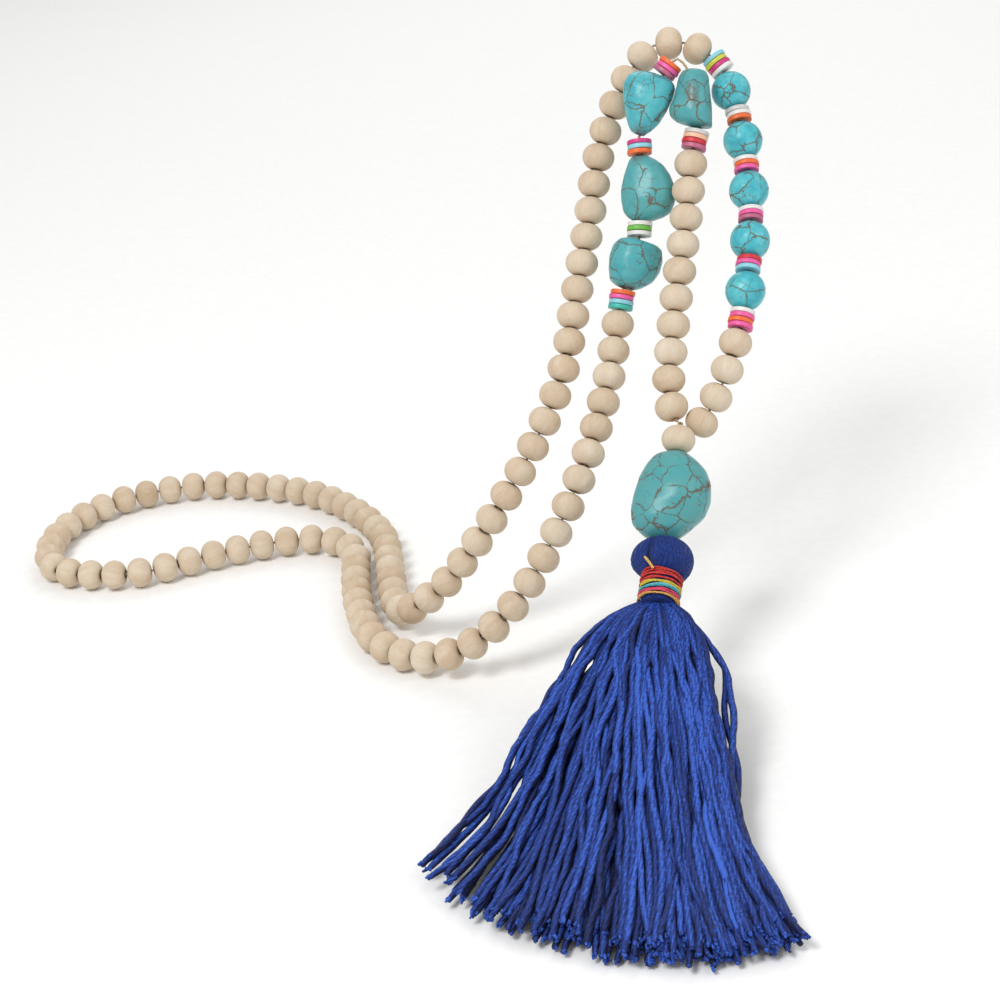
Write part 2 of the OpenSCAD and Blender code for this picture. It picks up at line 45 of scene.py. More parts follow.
# Sizes in mm, as in the part's source
WOOD_D, WOOD_L, WOOD_BORE = 8, 6.5, 2
ROUND_D, STONE_BORE = 9.6, 2
DISC_D, DISC_T, DISC_BORE = 6, 1.05, 1.8
THREAD_D, BEAD_GAP, HAIRPIN_THREAD, LEAD = 0.6, 0.14, 5.6, 0.5
HEAD_D, HEAD_L, NECK_D, BINDING_D = 14, 9, 8.2, 0.9
TURN_GAP, BINDING_GAP, HEAD_GAP, HEAD_LIFT = 0.15, 0.12, 0.8, 0.5
SKIRT_L, FAN_ANGLE, SKIRT_T = 102, 52, 6
FLOOR, FAN_HEADING = -124, -96.5
PENDANT_W, PENDANT_L = 19.6, 22
LEFT_WOOD, RIGHT_WOOD, RIM, STONE_RIM = 10, 4, 1.65, 2.6
NUGGET_W = {1: 12.6, 2: 10.6, 3: 13.4, 4: 13}
NUGGET_L = {1: 15, 2: 14, 3: 15.6, 4: 12}

# Route of the thread from the joint bead up the left column, over the hairpin, down the nuggets,
# round the back loop, over the arch and down the right column to the joint bead again.
ROUTE = np.array([
    [-10.9, -52.3, -68.2], [-12, -49.8, -65.5], [-11.2, -45, -60.2], [-7, -34, -45], [-2, -23, -29],
    [1, -15, -17],
    [3.6, -11, -10], [3.8, -6, -1], [2.9, -4, 2.9], [0.9, -2.4, 5], [-1.6, -2.2, 2.9], [-3.4, -3.2, 0.9],
    [-9.5, -6.3, -8.2], [-10.6, -10.3, -16], [-12, -14, -24.6], [-13.4, -19, -34.3], [-18, -23, -43],
    [-21, -28, -52], [-26.5, -40, -65.5], [-36, -54, -81.5], [-48, -61.5, -99], [-58, -64, -109.5],
    [-69, -62, -117], [-80, -55.5, -120], [-89, -44, -120], [-93, -24, -120], [-94, -4, -120],
    [-94.5, 9, -120], [-102, 18.5, -120], [-115, 20.5, -120], [-134, 17, -120], [-154, 11, -120],
    [-174, 17, -120], [-180, 28, -120], [-179.5, 43, -120], [-173, 55, -120], [-162, 63.5, -120],
    [-142, 67, -120], [-123, 61, -120], [-106, 50, -120], [-93.5, 33, -120], [-86.5, 15, -120],
    [-85, -3, -120], [-84, -21, -120], [-82, -32.5, -119], [-77.5, -39.5, -114.5], [-69, -43, -107],
    [-57, -44, -92], [-45.5, -40, -77], [-35.5, -32, -61], [-30, -21, -46], [-24, -10, -29],
    [-20.5, -3, -17.5], [-15, 3, -6.5], [-7, 7, 4.5], [0, 8, 7], [7.5, 6, 5], [12.5, 2.5, -0.5],
    [14.5, -4, -9], [14.5, -14, -21], [13.5, -23, -31], [10.5, -33, -41], [7, -41, -50.5],
    [2, -47.2, -60], [-0.8, -49, -65], [-4.8, -50.5, -70.1], [-7.3, -51.9, -72.6]])
SPAN_CHORDS = 12
# Half of the step that gives the route's direction
HALF_STEP = 0.3


def unit(v):
    """Each vector divided by its own length."""
    return v / np.linalg.norm(v, axis=-1, keepdims=True)


def any_start(size=None):
    """Random starts of waves, in radians: a share of 7, which is a little over a whole turn."""
    return random.random(size) * 7


def curve_through(route):
    """Each span between two points is a Catmull-Rom cubic, cut into short chords."""
    knots = np.vstack([2 * route[0] - route[1], route, 2 * route[-1] - route[-2]])
    t = (np.arange(SPAN_CHORDS) / SPAN_CHORDS)[:, None]
    a, b, c, d = (knots[i:len(knots) - 3 + i, None] for i in range(4))
    quadratic, cubic = 2 * a - 5 * b + 4 * c - d, 3 * b - 3 * c + d - a
    spans = 0.5 * (2 * b + (c - a) * t + quadratic * t**2 + cubic * t**3)
    return np.vstack([spans.reshape(-1, 3), route[-1]])


CURVE = curve_through(ROUTE)
RUN = np.concatenate([[0], np.cumsum(np.linalg.norm(np.diff(CURVE, axis=0), axis=1))])
LOOP = RUN[-1]


def at(s):
    """Point of the route at s mm of its length."""
    return np.stack([np.interp(s, RUN, CURVE[:, k]) for k in range(3)], axis=-1)


def heading(s):
    """Direction of the route at s, from the points a half step before and after it."""
    return unit(at(s + HALF_STEP) - at(s - HALF_STEP))


def clearance(s, before, after, rim):
    """The gap to the neighbour, opened by the rim times the sine of the bend between the two middles."""
    cosine = min(1, float(heading(s - before / 2) @ heading(s + after / 2)))
    return BEAD_GAP + rim * math.sin(math.acos(cosine))


def stack(n):
    """Length of n discs with a gap between each two."""
    return n * DISC_T + (n - 1) * BEAD_GAP


def lay(pieces, s, way):
    """Start and end of each piece along the route. Columns: length, rim, bare thread before it."""
    places, before = [], way * pieces[0][0]
    for length, rim, bare in pieces:
        s = s + way * (clearance(s, before, way * length, rim) + bare)
        places.append((s, s + way * length))
        s, before = s + way * length, way * length
    return places


def fill(s, end, more):
    """Wood beads one after another from s until the next would pass the end, each after the
    clearance of the bend and this much more."""
    places = []
    while True:
        s = s + clearance(s, WOOD_L, WOOD_L, RIM) + more
        if s + WOOD_L > end:
            return places
        places.append((s, s + WOOD_L))
        s += WOOD_L


ROUND_L = 2 * math.sqrt((ROUND_D / 2) ** 2 - (STONE_BORE / 2) ** 2)
wood_run = [(WOOD_L, RIM, 0)]
LEFT = lay(wood_run * LEFT_WOOD + [
    (stack(4), RIM, 0), (NUGGET_L[2], STONE_RIM, 0), (stack(3), 0, HAIRPIN_THREAD),
    (NUGGET_L[1], STONE_RIM, 0), (stack(3), STONE_RIM, 0), (NUGGET_L[3], STONE_RIM, 0),
    (stack(3), STONE_RIM, 0), (NUGGET_L[4], STONE_RIM, 0), (stack(4), STONE_RIM, 0)], LEAD, 1)
round_run = [(ROUND_L, RIM, 0), (stack(3), RIM, 0)]
RIGHT = lay(wood_run * RIGHT_WOOD + [(stack(4), RIM, 0)] + round_run * 4
            + [(ROUND_L, RIM, 0), (stack(4), RIM, 0)], LOOP - LEAD, -1)
BACK_START, BACK_END = LEFT[-1][1], RIGHT[-1][1] - 2 * LEAD
LOOSE = fill(BACK_START, BACK_END, 0)
BACK = fill(BACK_START, BACK_END, (BACK_END - LOOSE[-1][1]) / (len(LOOSE) + 1))
HALF = len(BACK) // 2

# The drop: joint bead, pendant and head lie one below the other on the doubled thread.
BACKWARD = np.array([0, 0.8, -0.6])
JOINT = np.array([-11, -55.5, -71.5])
DROP_1, DROP_2 = unit(np.array([-0.24, -0.66, -0.71])), unit(np.array([-0.26, -0.82, -0.52]))
PENDANT_TOP = JOINT + DROP_1 * (WOOD_L / 2 + BEAD_GAP)
PENDANT_END = PENDANT_TOP + DROP_1 * PENDANT_L
HEAD_TOP = PENDANT_END + (DROP_1 + DROP_2) * HEAD_GAP / 2
# Middle of each bound turn, counted from the head in turns of the binding thread. The neck ends
# 0.9 turns past the last one.
TURN = BINDING_D + TURN_GAP
BINDING_TURNS = {"red": [0.5, 1.5, 2.5], "yellow": [3.5], "turquoise": [4.5], "crimson": [5.5],
                 "gold": [6.5]}
NECK_L = (BINDING_TURNS["gold"][0] + 0.9) * TURN
NECK_END = HEAD_TOP + DROP_2 * (HEAD_L + NECK_L)


def placing(p, q):
    """Axes and middle of a piece whose thread runs from p to q: right, back, along the thread."""
    z = unit(q - p)
    x = unit(np.cross(BACKWARD, z))
    return np.stack([x, np.cross(z, x), z]), (p + q) / 2


def placed(points, frames):
    """Points (k, m, n, 3) of k pieces: each coordinate times its axis, plus the piece's middle."""
    axes = np.array([f[0] for f in frames])
    middles = np.array([f[1] for f in frames])
    return np.einsum("kmna,kab->kmnb", points, axes) + middles[:, None, None]


HEAD_AXES = placing(HEAD_TOP, HEAD_TOP + DROP_2)[0]


def around(steps):
    """Even steps round a whole turn, in radians."""
    return np.linspace(0, 2 * np.pi, steps, endpoint=False)


def polar(radius, turn, z):
    """Points about the z axis: the radius times the cosine and the sine of the turn, and the height."""
    return np.stack([radius * np.cos(turn), radius * np.sin(turn), z + 0 * turn], -1)


def revolved(radius, z, columns):
    """A profile swept round the z axis: each row's radius and height at each step of the turn."""
    return polar(radius[:, None], around(columns), z[:, None])


def added(name, data):
    """Adds an object to the scene, for a mesh, a lamp or a camera."""
    made = bpy.data.objects.new(name, data)
    bpy.context.scene.collection.objects.link(made)
    return made


# Meshes from grids


def surface(name, points, replaces=(), slot=None, materials=(), closed_rows=True, scale_uv=None,
            material_of=None, **attributes):
    """A mesh of k grids of m rows and n columns in mm. Columns wrap round; rows wrap too, or else
    the first and last row are each closed by one flat cap. Where the volume under the faces comes
    out below zero they are reversed, so that they look outwards. scale_uv is how far along in mm
    each row lies, material_of the material of each grid, and attributes are values at the points."""
    k, m, n, _ = points.shape
    rows = m if closed_rows else m - 1
    i, j = np.meshgrid(np.arange(rows), np.arange(n), indexing="ij")
    next_i, next_j = (i + 1) % m, (j + 1) % n
    corners = np.stack([i * n + j, next_i * n + j, next_i * n + next_j, i * n + next_j], -1)
    quads = (corners.reshape(1, -1, 4) + (np.arange(k) * m * n)[:, None, None]).reshape(-1, 4)
    flat = points.reshape(-1, 3)
    a, b, c, d = (flat[quads[:, q]] for q in range(4))
    volume = np.einsum("ij,ij->i", a, np.cross(b, c) + np.cross(c, d)).sum()
    flipped = volume < 0
    if flipped:
        quads = quads[:, ::-1]
    loops, sizes = quads.reshape(-1), np.full(len(quads), 4)
    if not closed_rows:
        start = np.arange(n)[None] + (np.arange(k) * m * n)[:, None]
        end = start + (m - 1) * n
        caps = np.concatenate([start[:, ::-1], end] if flipped else [start, end[:, ::-1]])
        loops, sizes = np.concatenate([loops, caps.reshape(-1)]), np.concatenate([sizes, np.full(2 * k, n)])
    mesh = bpy.data.meshes.new(name)
    mesh.vertices.add(len(flat))
    mesh.vertices.foreach_set("co", (flat * MM).astype(np.float32).ravel())
    mesh.loops.add(len(loops))
    mesh.loops.foreach_set("vertex_index", loops.astype(np.int32))
    mesh.polygons.add(len(sizes))
    mesh.polygons.foreach_set("loop_start", (np.cumsum(sizes) - sizes).astype(np.int32))
    mesh.polygons.foreach_set("use_smooth", np.ones(len(sizes), bool))
    if material_of is not None:
        mesh.polygons.foreach_set("material_index", np.repeat(material_of, rows * n).astype(np.int32))
    mesh.update(calc_edges=True)
    if scale_uv is not None:
        u = np.stack([j, j, j + 1, j + 1], -1) / n
        v = np.stack([scale_uv[i], scale_uv[next_i], scale_uv[next_i], scale_uv[i]], -1)
        uv = np.stack([u, v], -1).reshape(-1, 4, 2)
        uv = uv[:, ::-1] if flipped else uv
        uv = np.tile(uv.reshape(1, -1, 2), (k, 1, 1)).reshape(-1, 2)
        uv = np.vstack([uv, np.zeros((len(loops) - len(uv), 2))])
        layer = mesh.uv_layers.new(name="along")
        layer.data.foreach_set("uv", uv.astype(np.float32).ravel())
    for key, values in attributes.items():
        vector = values.ndim == 4
        layer = mesh.attributes.new(key, "FLOAT_VECTOR" if vector else "FLOAT", "POINT")
        full = np.broadcast_to(values, (k, m, n) + ((3,) if vector else ()))
        layer.data.foreach_set("vector" if vector else "value", full.astype(np.float32).ravel())
    mesh.validate()
    piece = added(name, mesh)
    for coat in materials:
        mesh.materials.append(coat)
    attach(piece, "root")
    if replaces:
        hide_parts(*replaces)


# Materials


def colour(code):
    """An sRGB hex code as linear colour: each part over 12.92, or past 0.04045 its sum with 0.055,
    over 1.055, to the power 2.4."""
    parts = [int(code[i:i + 2], 16) / 255 for i in (1, 3, 5)]
    return tuple(p / 12.92 if p <= 0.04045 else ((p + 0.055) / 1.055) ** 2.4 for p in parts) + (1,)


def feed(tree, made, inputs):
    """Sets a node's inputs: each is a value, a socket to link, or a node whose first output is linked."""
    for socket, value in inputs.items():
        if isinstance(value, bpy.types.Node):
            value = value.outputs[0]
        if isinstance(value, bpy.types.NodeSocket):
            tree.links.new(value, made.inputs[socket])
        else:
            made.inputs[socket].default_value = value


def node(tree, kind, inputs=None, stops=(), **settings):
    """Adds one shader node with its settings and inputs. Stops are a ramp's places and sRGB codes."""
    made = tree.nodes.new("ShaderNode" + kind)
    for key, value in settings.items():
        setattr(made, key, value)
    feed(tree, made, inputs or {})
    for _ in stops[2:]:
        made.color_ramp.elements.new(0.5)
    for i, (place, code) in enumerate(stops):
        made.color_ramp.elements[i].position = place
        made.color_ramp.elements[i].color = colour(code)
    return made


def material(name, **shader):
    """A Principled material. What is the same all over it is set on the shader itself."""
    made = bpy.data.materials.new(name)
    made.use_nodes = True
    tree = made.node_tree
    tree.nodes.clear()
    bsdf = node(tree, "BsdfPrincipled", {k.replace("_", " "): v for k, v in shader.items()})
    node(tree, "OutputMaterial", {"Surface": bsdf})
    return made, tree, bsdf


def unstained_wood():
    """Light hardwood, turned and tumbled, left raw: straight grain from hole to hole, a tone of its
    own for each bead, a matte face. The fibres are drawn 0.3 mm wide, coarser than real ones, or
    they wouldn't show."""
    made, tree, bsdf = material("raw_turned_wood", Roughness=0.68, IOR=1.4)
    # Widths of fibres and rings in mm, and how much longer than wide they are
    fibre, ring, stretch = 0.3125, 2.5, 10
    place = node(tree, "Attribute", attribute_name="grain_place").outputs["Vector"]
    tone = node(tree, "Attribute", attribute_name="tone").outputs["Fac"]
    grain = node(tree, "Mapping", {"Vector": place, "Scale": (1, 1, 1 / stretch)})
    fibres = node(tree, "TexNoise", {"Vector": grain, "Scale": 1 / fibre, "Detail": 4, "Roughness": 0.6})
    rings = node(tree, "TexNoise", {"Vector": grain, "Scale": 1 / ring, "Detail": 2})
    mixed = node(tree, "Math", {0: fibres, 1: 0.4, 2: tone}, operation="MULTIPLY_ADD")
    mixed = node(tree, "Math", {0: rings, 1: 0.5, 2: mixed}, operation="MULTIPLY_ADD")
    face = node(tree, "ValToRGB", {"Fac": mixed},
                stops=((0.15, "#B3997B"), (0.5, "#CCB79D"), (0.85, "#DDD0BC")))
    raised = node(tree, "Bump", {"Height": fibres, "Strength": 0.3, "Distance": 0.1 * MM})
    feed(tree, bsdf, {"Base Color": face, "Normal": raised})
    return made


def crack(tree, place, field, half_width, patch, low):
    """Edges between fields of one size in mm, as cracks. Their half width follows a slow noise from
    its full size down to almost nothing, so that they run out."""
    cells = node(tree, "TexVoronoi", {"Vector": place, "Scale": 1 / field}, feature="DISTANCE_TO_EDGE")
    width = node(tree, "MapRange", {"Value": patch, "From Min": low, "From Max": low + 0.2,
                                    "To Min": 0.0005, "To Max": half_width / field})
    share = node(tree, "Math", {0: cells.outputs["Distance"], 1: width}, operation="DIVIDE")
    return node(tree, "MapRange",
                {"Value": share, "From Min": 0.55, "From Max": 1.25, "To Min": 1, "To Max": 0})


def polished_turquoise():
    """Tumbled and polished turquoise: a blue-green body that clouds a little and is duller in some
    stones, thin brown cracks that part it into fields and run out, a few finer ones beside them,
    one dull brown pool, a satin gloss."""
    made, tree, bsdf = material("polished_turquoise", IOR=1.5, Specular_IOR_Level=0.3)
    # In mm: fields between the cracks, half widths of the cracks, and the size of each noise
    field, fine_field, half_width, fine_half_width = 6.25, 2.5, 0.16875, 0.065
    bend, kink, patch_size, cloud, pool_edge = 5, 10 / 11, 4, 10 / 3, 10 / 9
    place = node(tree, "Attribute", attribute_name="stone_place").outputs["Vector"]
    pool = node(tree, "Attribute", attribute_name="pool").outputs["Fac"]
    dullness = node(tree, "Attribute", attribute_name="tone").outputs["Fac"]
    # The cracks bend and kink because their place is pushed about by two noises.
    slow = node(tree, "TexNoise", {"Vector": place, "Scale": 1 / bend, "Detail": 1})
    quick = node(tree, "TexNoise", {"Vector": place, "Scale": 1 / kink, "Detail": 3})
    bent = node(tree, "VectorMath", {0: slow.outputs["Color"], 1: (2.6, 2.6, 2.6), 2: place},
                operation="MULTIPLY_ADD")
    pushed = node(tree, "VectorMath",
                  {0: quick.outputs["Color"], 1: (0.95, 0.95, 0.95), 2: bent}, operation="MULTIPLY_ADD")
    patch = node(tree, "TexNoise", {"Vector": place, "Scale": 1 / patch_size, "Detail": 2})
    main = crack(tree, pushed, field, half_width, patch, 0.33)
    fine = crack(tree, pushed, fine_field, fine_half_width, patch, 0.5)
    most = node(tree, "Math", {0: main, 1: fine}, operation="MAXIMUM")
    clouds = node(tree, "TexNoise", {"Vector": place, "Scale": 1 / cloud, "Detail": 5, "Roughness": 0.6})
    body = node(tree, "ValToRGB", {"Fac": clouds},
                stops=((0.3, "#3AA0AE"), (0.5, "#4CB5C1"), (0.7, "#6CCAD3")))
    share = node(tree, "Math", {0: clouds, 1: 0.8, 2: dullness}, operation="MULTIPLY_ADD")
    greyed = node(tree, "MapRange", {"Value": share, "From Min": 0.4, "From Max": 1.4})
    dusty = node(tree, "Mix", {"Factor": greyed, "A": body, "B": colour("#569492")}, data_type="RGBA")
    faded = node(tree, "Math", {0: most, 1: 0.85}, operation="MULTIPLY")
    veined = node(tree, "Mix",
                  {"Factor": faded, "A": dusty.outputs["Result"], "B": colour("#65543F")}, data_type="RGBA")
    ragged = node(tree, "TexNoise",
                  {"Vector": place, "Scale": 1 / pool_edge, "Detail": 4, "Roughness": 0.65})
    ragged = node(tree, "Math", {0: ragged, 1: 2.0}, operation="MULTIPLY")
    ragged = node(tree, "Math", {0: ragged, 1: pool}, operation="MULTIPLY")
    sunk = node(tree, "MapRange", {"Value": ragged, "From Min": 0.3, "From Max": 0.9, "To Max": 0.9})
    tint = node(tree, "Mix",
                {"Factor": sunk, "A": veined.outputs["Result"], "B": colour("#6A452F")}, data_type="RGBA")
    rough = node(tree, "MapRange", {"Value": most, "To Min": 0.3, "To Max": 0.6})
    raised = node(tree, "Bump", {"Height": most, "Strength": 0.4, "Distance": 0.15 * MM}, invert=True)
    feed(tree, bsdf, {"Base Color": tint.outputs["Result"], "Roughness": rough, "Normal": raised})
    return made


def dyed_clay(name, code):
    """Polymer clay, rolled and cut into discs: one dye, faint mottling, a satin face."""
    made, tree, bsdf = material("clay_" + name, Roughness=0.42, IOR=1.48)
    mottle_mm = 10 / 9
    place = node(tree, "TexCoord").outputs["Object"]
    mottle = node(tree, "TexNoise", {"Vector": place, "Scale": 1 / (mottle_mm * MM), "Detail": 3})
    shade = node(tree, "MapRange", {"Value": mottle, "To Min": 0.86, "To Max": 1.1})
    dyed = node(tree, "Mix", {"Factor": 1.0, "A": colour(code), "B": shade},
                data_type="RGBA", blend_type="MULTIPLY")
    raised = node(tree, "Bump", {"Height": mottle, "Strength": 0.2, "Distance": 0.05 * MM})
    feed(tree, bsdf, {"Base Color": dyed.outputs["Result"], "Normal": raised})
    return made


def plied_cotton(name, shaded, body, light, lay_length, plies, relief):
    """Mercerised cotton of several loose plies: they wind round the yarn once in the lay length, in
    mm, with painted shade between them, with short flecks of painted highlight along them and fine
    fibres, which are drawn 0.3 mm wide, coarser than real ones, or they wouldn't show. The ramp runs
    from the shaded colour through the body to the lit one."""
    made, tree, bsdf = material("plied_cotton_" + name, Roughness=0.6, IOR=1.35,
                                Sheen_Weight=0.05, Sheen_Roughness=0.4)
    # In mm: stretches in which the plies wind unevenly, flecks of painted highlight, and fibres
    slack, highlight_fleck, fibre = 50 / 11, 10 / 11, 1 / 3
    along = node(tree, "UVMap", uv_map="along")
    parts = node(tree, "SeparateXYZ", {0: along}).outputs
    phase = node(tree, "Attribute", attribute_name="phase").outputs["Fac"]
    # Each yarn's own tone, with the painted light and shade that was laid on it when the mesh was built
    tone = node(tree, "Attribute", attribute_name="tone").outputs["Fac"]
    place = node(tree, "TexCoord").outputs["Object"]
    # Place in plies: across the yarn, plus along it by the lay, plus an uneven start
    uneven = node(tree, "TexNoise", {"Vector": place, "Scale": 1 / (slack * MM), "Detail": 2})
    start = node(tree, "Math", {0: uneven, 1: 1.6, 2: phase}, operation="MULTIPLY_ADD")
    laid = node(tree, "Math", {0: parts["Y"], 1: plies / lay_length, 2: start}, operation="MULTIPLY_ADD")
    wound = node(tree, "Math", {0: parts["X"], 1: float(plies), 2: laid}, operation="MULTIPLY_ADD")
    turns = node(tree, "Math", {0: wound, 1: 2 * math.pi}, operation="MULTIPLY")
    ply = node(tree, "Math", {0: turns}, operation="SINE")
    height = node(tree, "MapRange", {"Value": ply, "From Min": -1, "From Max": 1})
    # The flecks of painted highlight lie in plies across and mm along, slid on from yarn to yarn.
    slid = node(tree, "Math", {0: phase, 1: 60, 2: parts["Y"]}, operation="MULTIPLY_ADD")
    strand = node(tree, "CombineXYZ", {"X": wound, "Y": slid, "Z": 0.0})
    highlight_flecks = node(tree, "TexNoise", {"Vector": strand, "Scale": 1 / highlight_fleck, "Detail": 3, "Roughness": 0.7})
    fuzz = node(tree, "TexNoise", {"Vector": place, "Scale": 1 / (fibre * MM), "Detail": 2})
    # Painted shade between the plies on the yarn's tone, then fibres, then the painted highlight flecks
    lift = node(tree, "Math", {0: height, 1: 0.14, 2: tone}, operation="MULTIPLY_ADD")
    lift = node(tree, "Math", {0: fuzz, 1: 0.4, 2: lift}, operation="MULTIPLY_ADD")
    lift = node(tree, "Math", {0: highlight_flecks, 1: 0.7, 2: lift}, operation="MULTIPLY_ADD")
    face = node(tree, "ValToRGB", {"Fac": lift}, stops=((0.18, shaded), (0.52, body), (0.76, light)))
    both = node(tree, "Math", {0: highlight_flecks, 1: 1.2, 2: height}, operation="MULTIPLY_ADD")
    raised = node(tree, "Bump", {"Height": both, "Strength": relief, "Distance": 0.2 * MM})
    feed(tree, bsdf, {"Base Color": face, "Normal": raised})
    return made


WOOD = unstained_wood()
TURQUOISE = polished_turquoise()
CLAY = {name: dyed_clay(name, code) for name, code in {
    "magenta": "#CC3A80", "pink": "#E65C9E", "orange": "#E86A33", "light_blue": "#8CCBD8", "teal": "#3FB3A6",
    "lime": "#CBCB4A", "white": "#E3E0DC", "grey_white": "#CBC8C6", "peach": "#EDB999", "red": "#CC2F3A",
    "mauve": "#B9627F", "green": "#6DB648"}.items()}
# Shaded, body and lit colours of the blue cotton, for its painted shade and painted highlight
BLUE = ("#081038", "#193785", "#3963C8")
YARN_COTTON = plied_cotton("royal_blue", *BLUE, 15, 5, 0.45)
HEAD_COTTON = plied_cotton("royal_blue_wrapped", *BLUE, 94, 110, 0.7)
# Shaded, body and lit colours of each binding thread, for its painted shade and painted highlight
BINDING = {name: plied_cotton(name, *codes, 2.6, 3, 0.6) for name, codes in {
    "red": ("#7E1512", "#BC2C28", "#DC4A40"), "yellow": ("#8F7A12", "#C9B42C", "#E4D45A"),
    "turquoise": ("#1F7080", "#3A9DAC", "#74C6CE"), "crimson": ("#7E1230", "#C42C4C", "#E25470"),
    "gold": ("#8F5E1A", "#CC9138", "#E8BC74")}.items()}

# Wood beads: rows and columns of one
BEAD_ROWS, BEAD_COLUMNS = 14, 32


def turned_bead():
    """A wood bead about its hole: a circle of half its length, set out from the hole's axis by half
    of what the bead is wider than long, swept round; the wall of the hole closes it."""
    r, out = WOOD_L / 2, (WOOD_D - WOOD_L) / 2
    end = math.acos((WOOD_BORE / 2 - out) / r)
    phi = np.linspace(-end, end, BEAD_ROWS)
    radius = np.concatenate([out + r * np.cos(phi), [WOOD_BORE / 2] * 3])
    z = np.concatenate([r * np.sin(phi), [r * 0.7, 0, -r * 0.7]])
    return revolved(radius, z, BEAD_COLUMNS)


def wood_beads(name, frames):
    """Beads of one string. Each is up to 2 % smaller across and 0.6 % oval, by a sine with two
    crests round it. Its grain leans by a random share of the height and starts up to 90 mm on."""
    k = len(frames)
    base = turned_bead()
    size = 1 - random.random((k, 1, 1, 1)) * 0.02
    turn = np.arctan2(base[..., 1], base[..., 0])
    oval = 1 + 0.006 * np.sin(2 * turn + any_start((k, 1, 1)))[..., None]
    local = np.tile(base, (k, 1, 1, 1))
    local[..., :2] *= size * oval
    lean = random.normal(0, 0.25, (k, 1, 1, 2))
    grain = local.copy()
    grain[..., :2] += lean * local[..., 2:]
    grain += random.random((k, 1, 1, 3)) * 90
    tone = random.normal(0.12, 0.06, (k, 1, 1))
    surface(name + "_turned", placed(local, frames), [name], "wood", [WOOD], grain_place=grain, tone=tone)


def route_frames(places):
    """Placing of each piece between its start and end on the route."""
    return [placing(at(a), at(b)) for a, b in places]


wood_beads("joint_bead", [placing(JOINT - DROP_1 * WOOD_L / 2, JOINT + DROP_1 * WOOD_L / 2)])
wood_beads("beads_front_left", route_frames(LEFT[:LEFT_WOOD]))
wood_beads("beads_front_right", route_frames(RIGHT[:RIGHT_WOOD]))
wood_beads("beads_back_inner", route_frames(BACK[:HALF]))
wood_beads("beads_back_outer", route_frames(BACK[HALF:]))

# Turquoise stones: rows and columns of a round and of a tumbled one
ROUND_ROWS, ROUND_COLUMNS = 34, 56
STONE_ROWS, STONE_COLUMNS = 60, 72


def with_bore(outer):
    """Closes the rows of a stone's outside by three rows of the wall of its hole, near its ends and
    in its middle."""
    top, low = outer[-1, 0, 2], outer[0, 0, 2]
    z = np.array([top * 0.995 + low * 0.005, (top + low) / 2, low * 0.995 + top * 0.005])
    return np.concatenate([outer, revolved(np.full(3, STONE_BORE / 2), z, outer.shape[1])])


def lumps(points, size, depth, count=7):
    """Sum of slow waves in random directions, as the height of the rubbed-down lumps."""
    way = unit(random.normal(0, 1, (count, 3))) * 2 * np.pi / (size * random.uniform(0.7, 1.5, (count, 1)))
    return depth * np.sin(points @ way.T + any_start(count)).sum(-1) / math.sqrt(count)


def polished(name, local, frame_of, pool, dullness):
    """A stone's mesh. Its pattern reads its own place, moved on by a random step of up to 200 mm."""
    surface(name + "_polished", placed(local, [frame_of]), [name], "turquoise", [TURQUOISE],
            stone_place=local + random.random(3) * 200, pool=pool, tone=np.full((1, 1, 1), dullness))


def round_stone(name, place):
    """A sphere about its hole, its radius less by lumps about 6 mm wide and 0.6 % of it deep, which
    fade out at the hole."""
    r = ROUND_D / 2
    end = math.acos(STONE_BORE / 2 / r)
    phi = np.linspace(-end, end, ROUND_ROWS)
    outer = revolved(r * np.cos(phi), r * np.sin(phi), ROUND_COLUMNS)
    away = (1 - np.abs(outer[..., 2:]) / r) * 2
    outer = outer * (1 - np.minimum(1, away) * (0.006 + lumps(outer, 6, 0.006)[..., None]))
    polished(name, with_bore(outer)[None], placing(at(place[0]), at(place[1])), np.zeros((1, 1, 1)), 0.0)


for number in range(1, 6):
    round_stone(f"turquoise_round_{number}", RIGHT[RIGHT_WOOD + 11 - 2 * number])

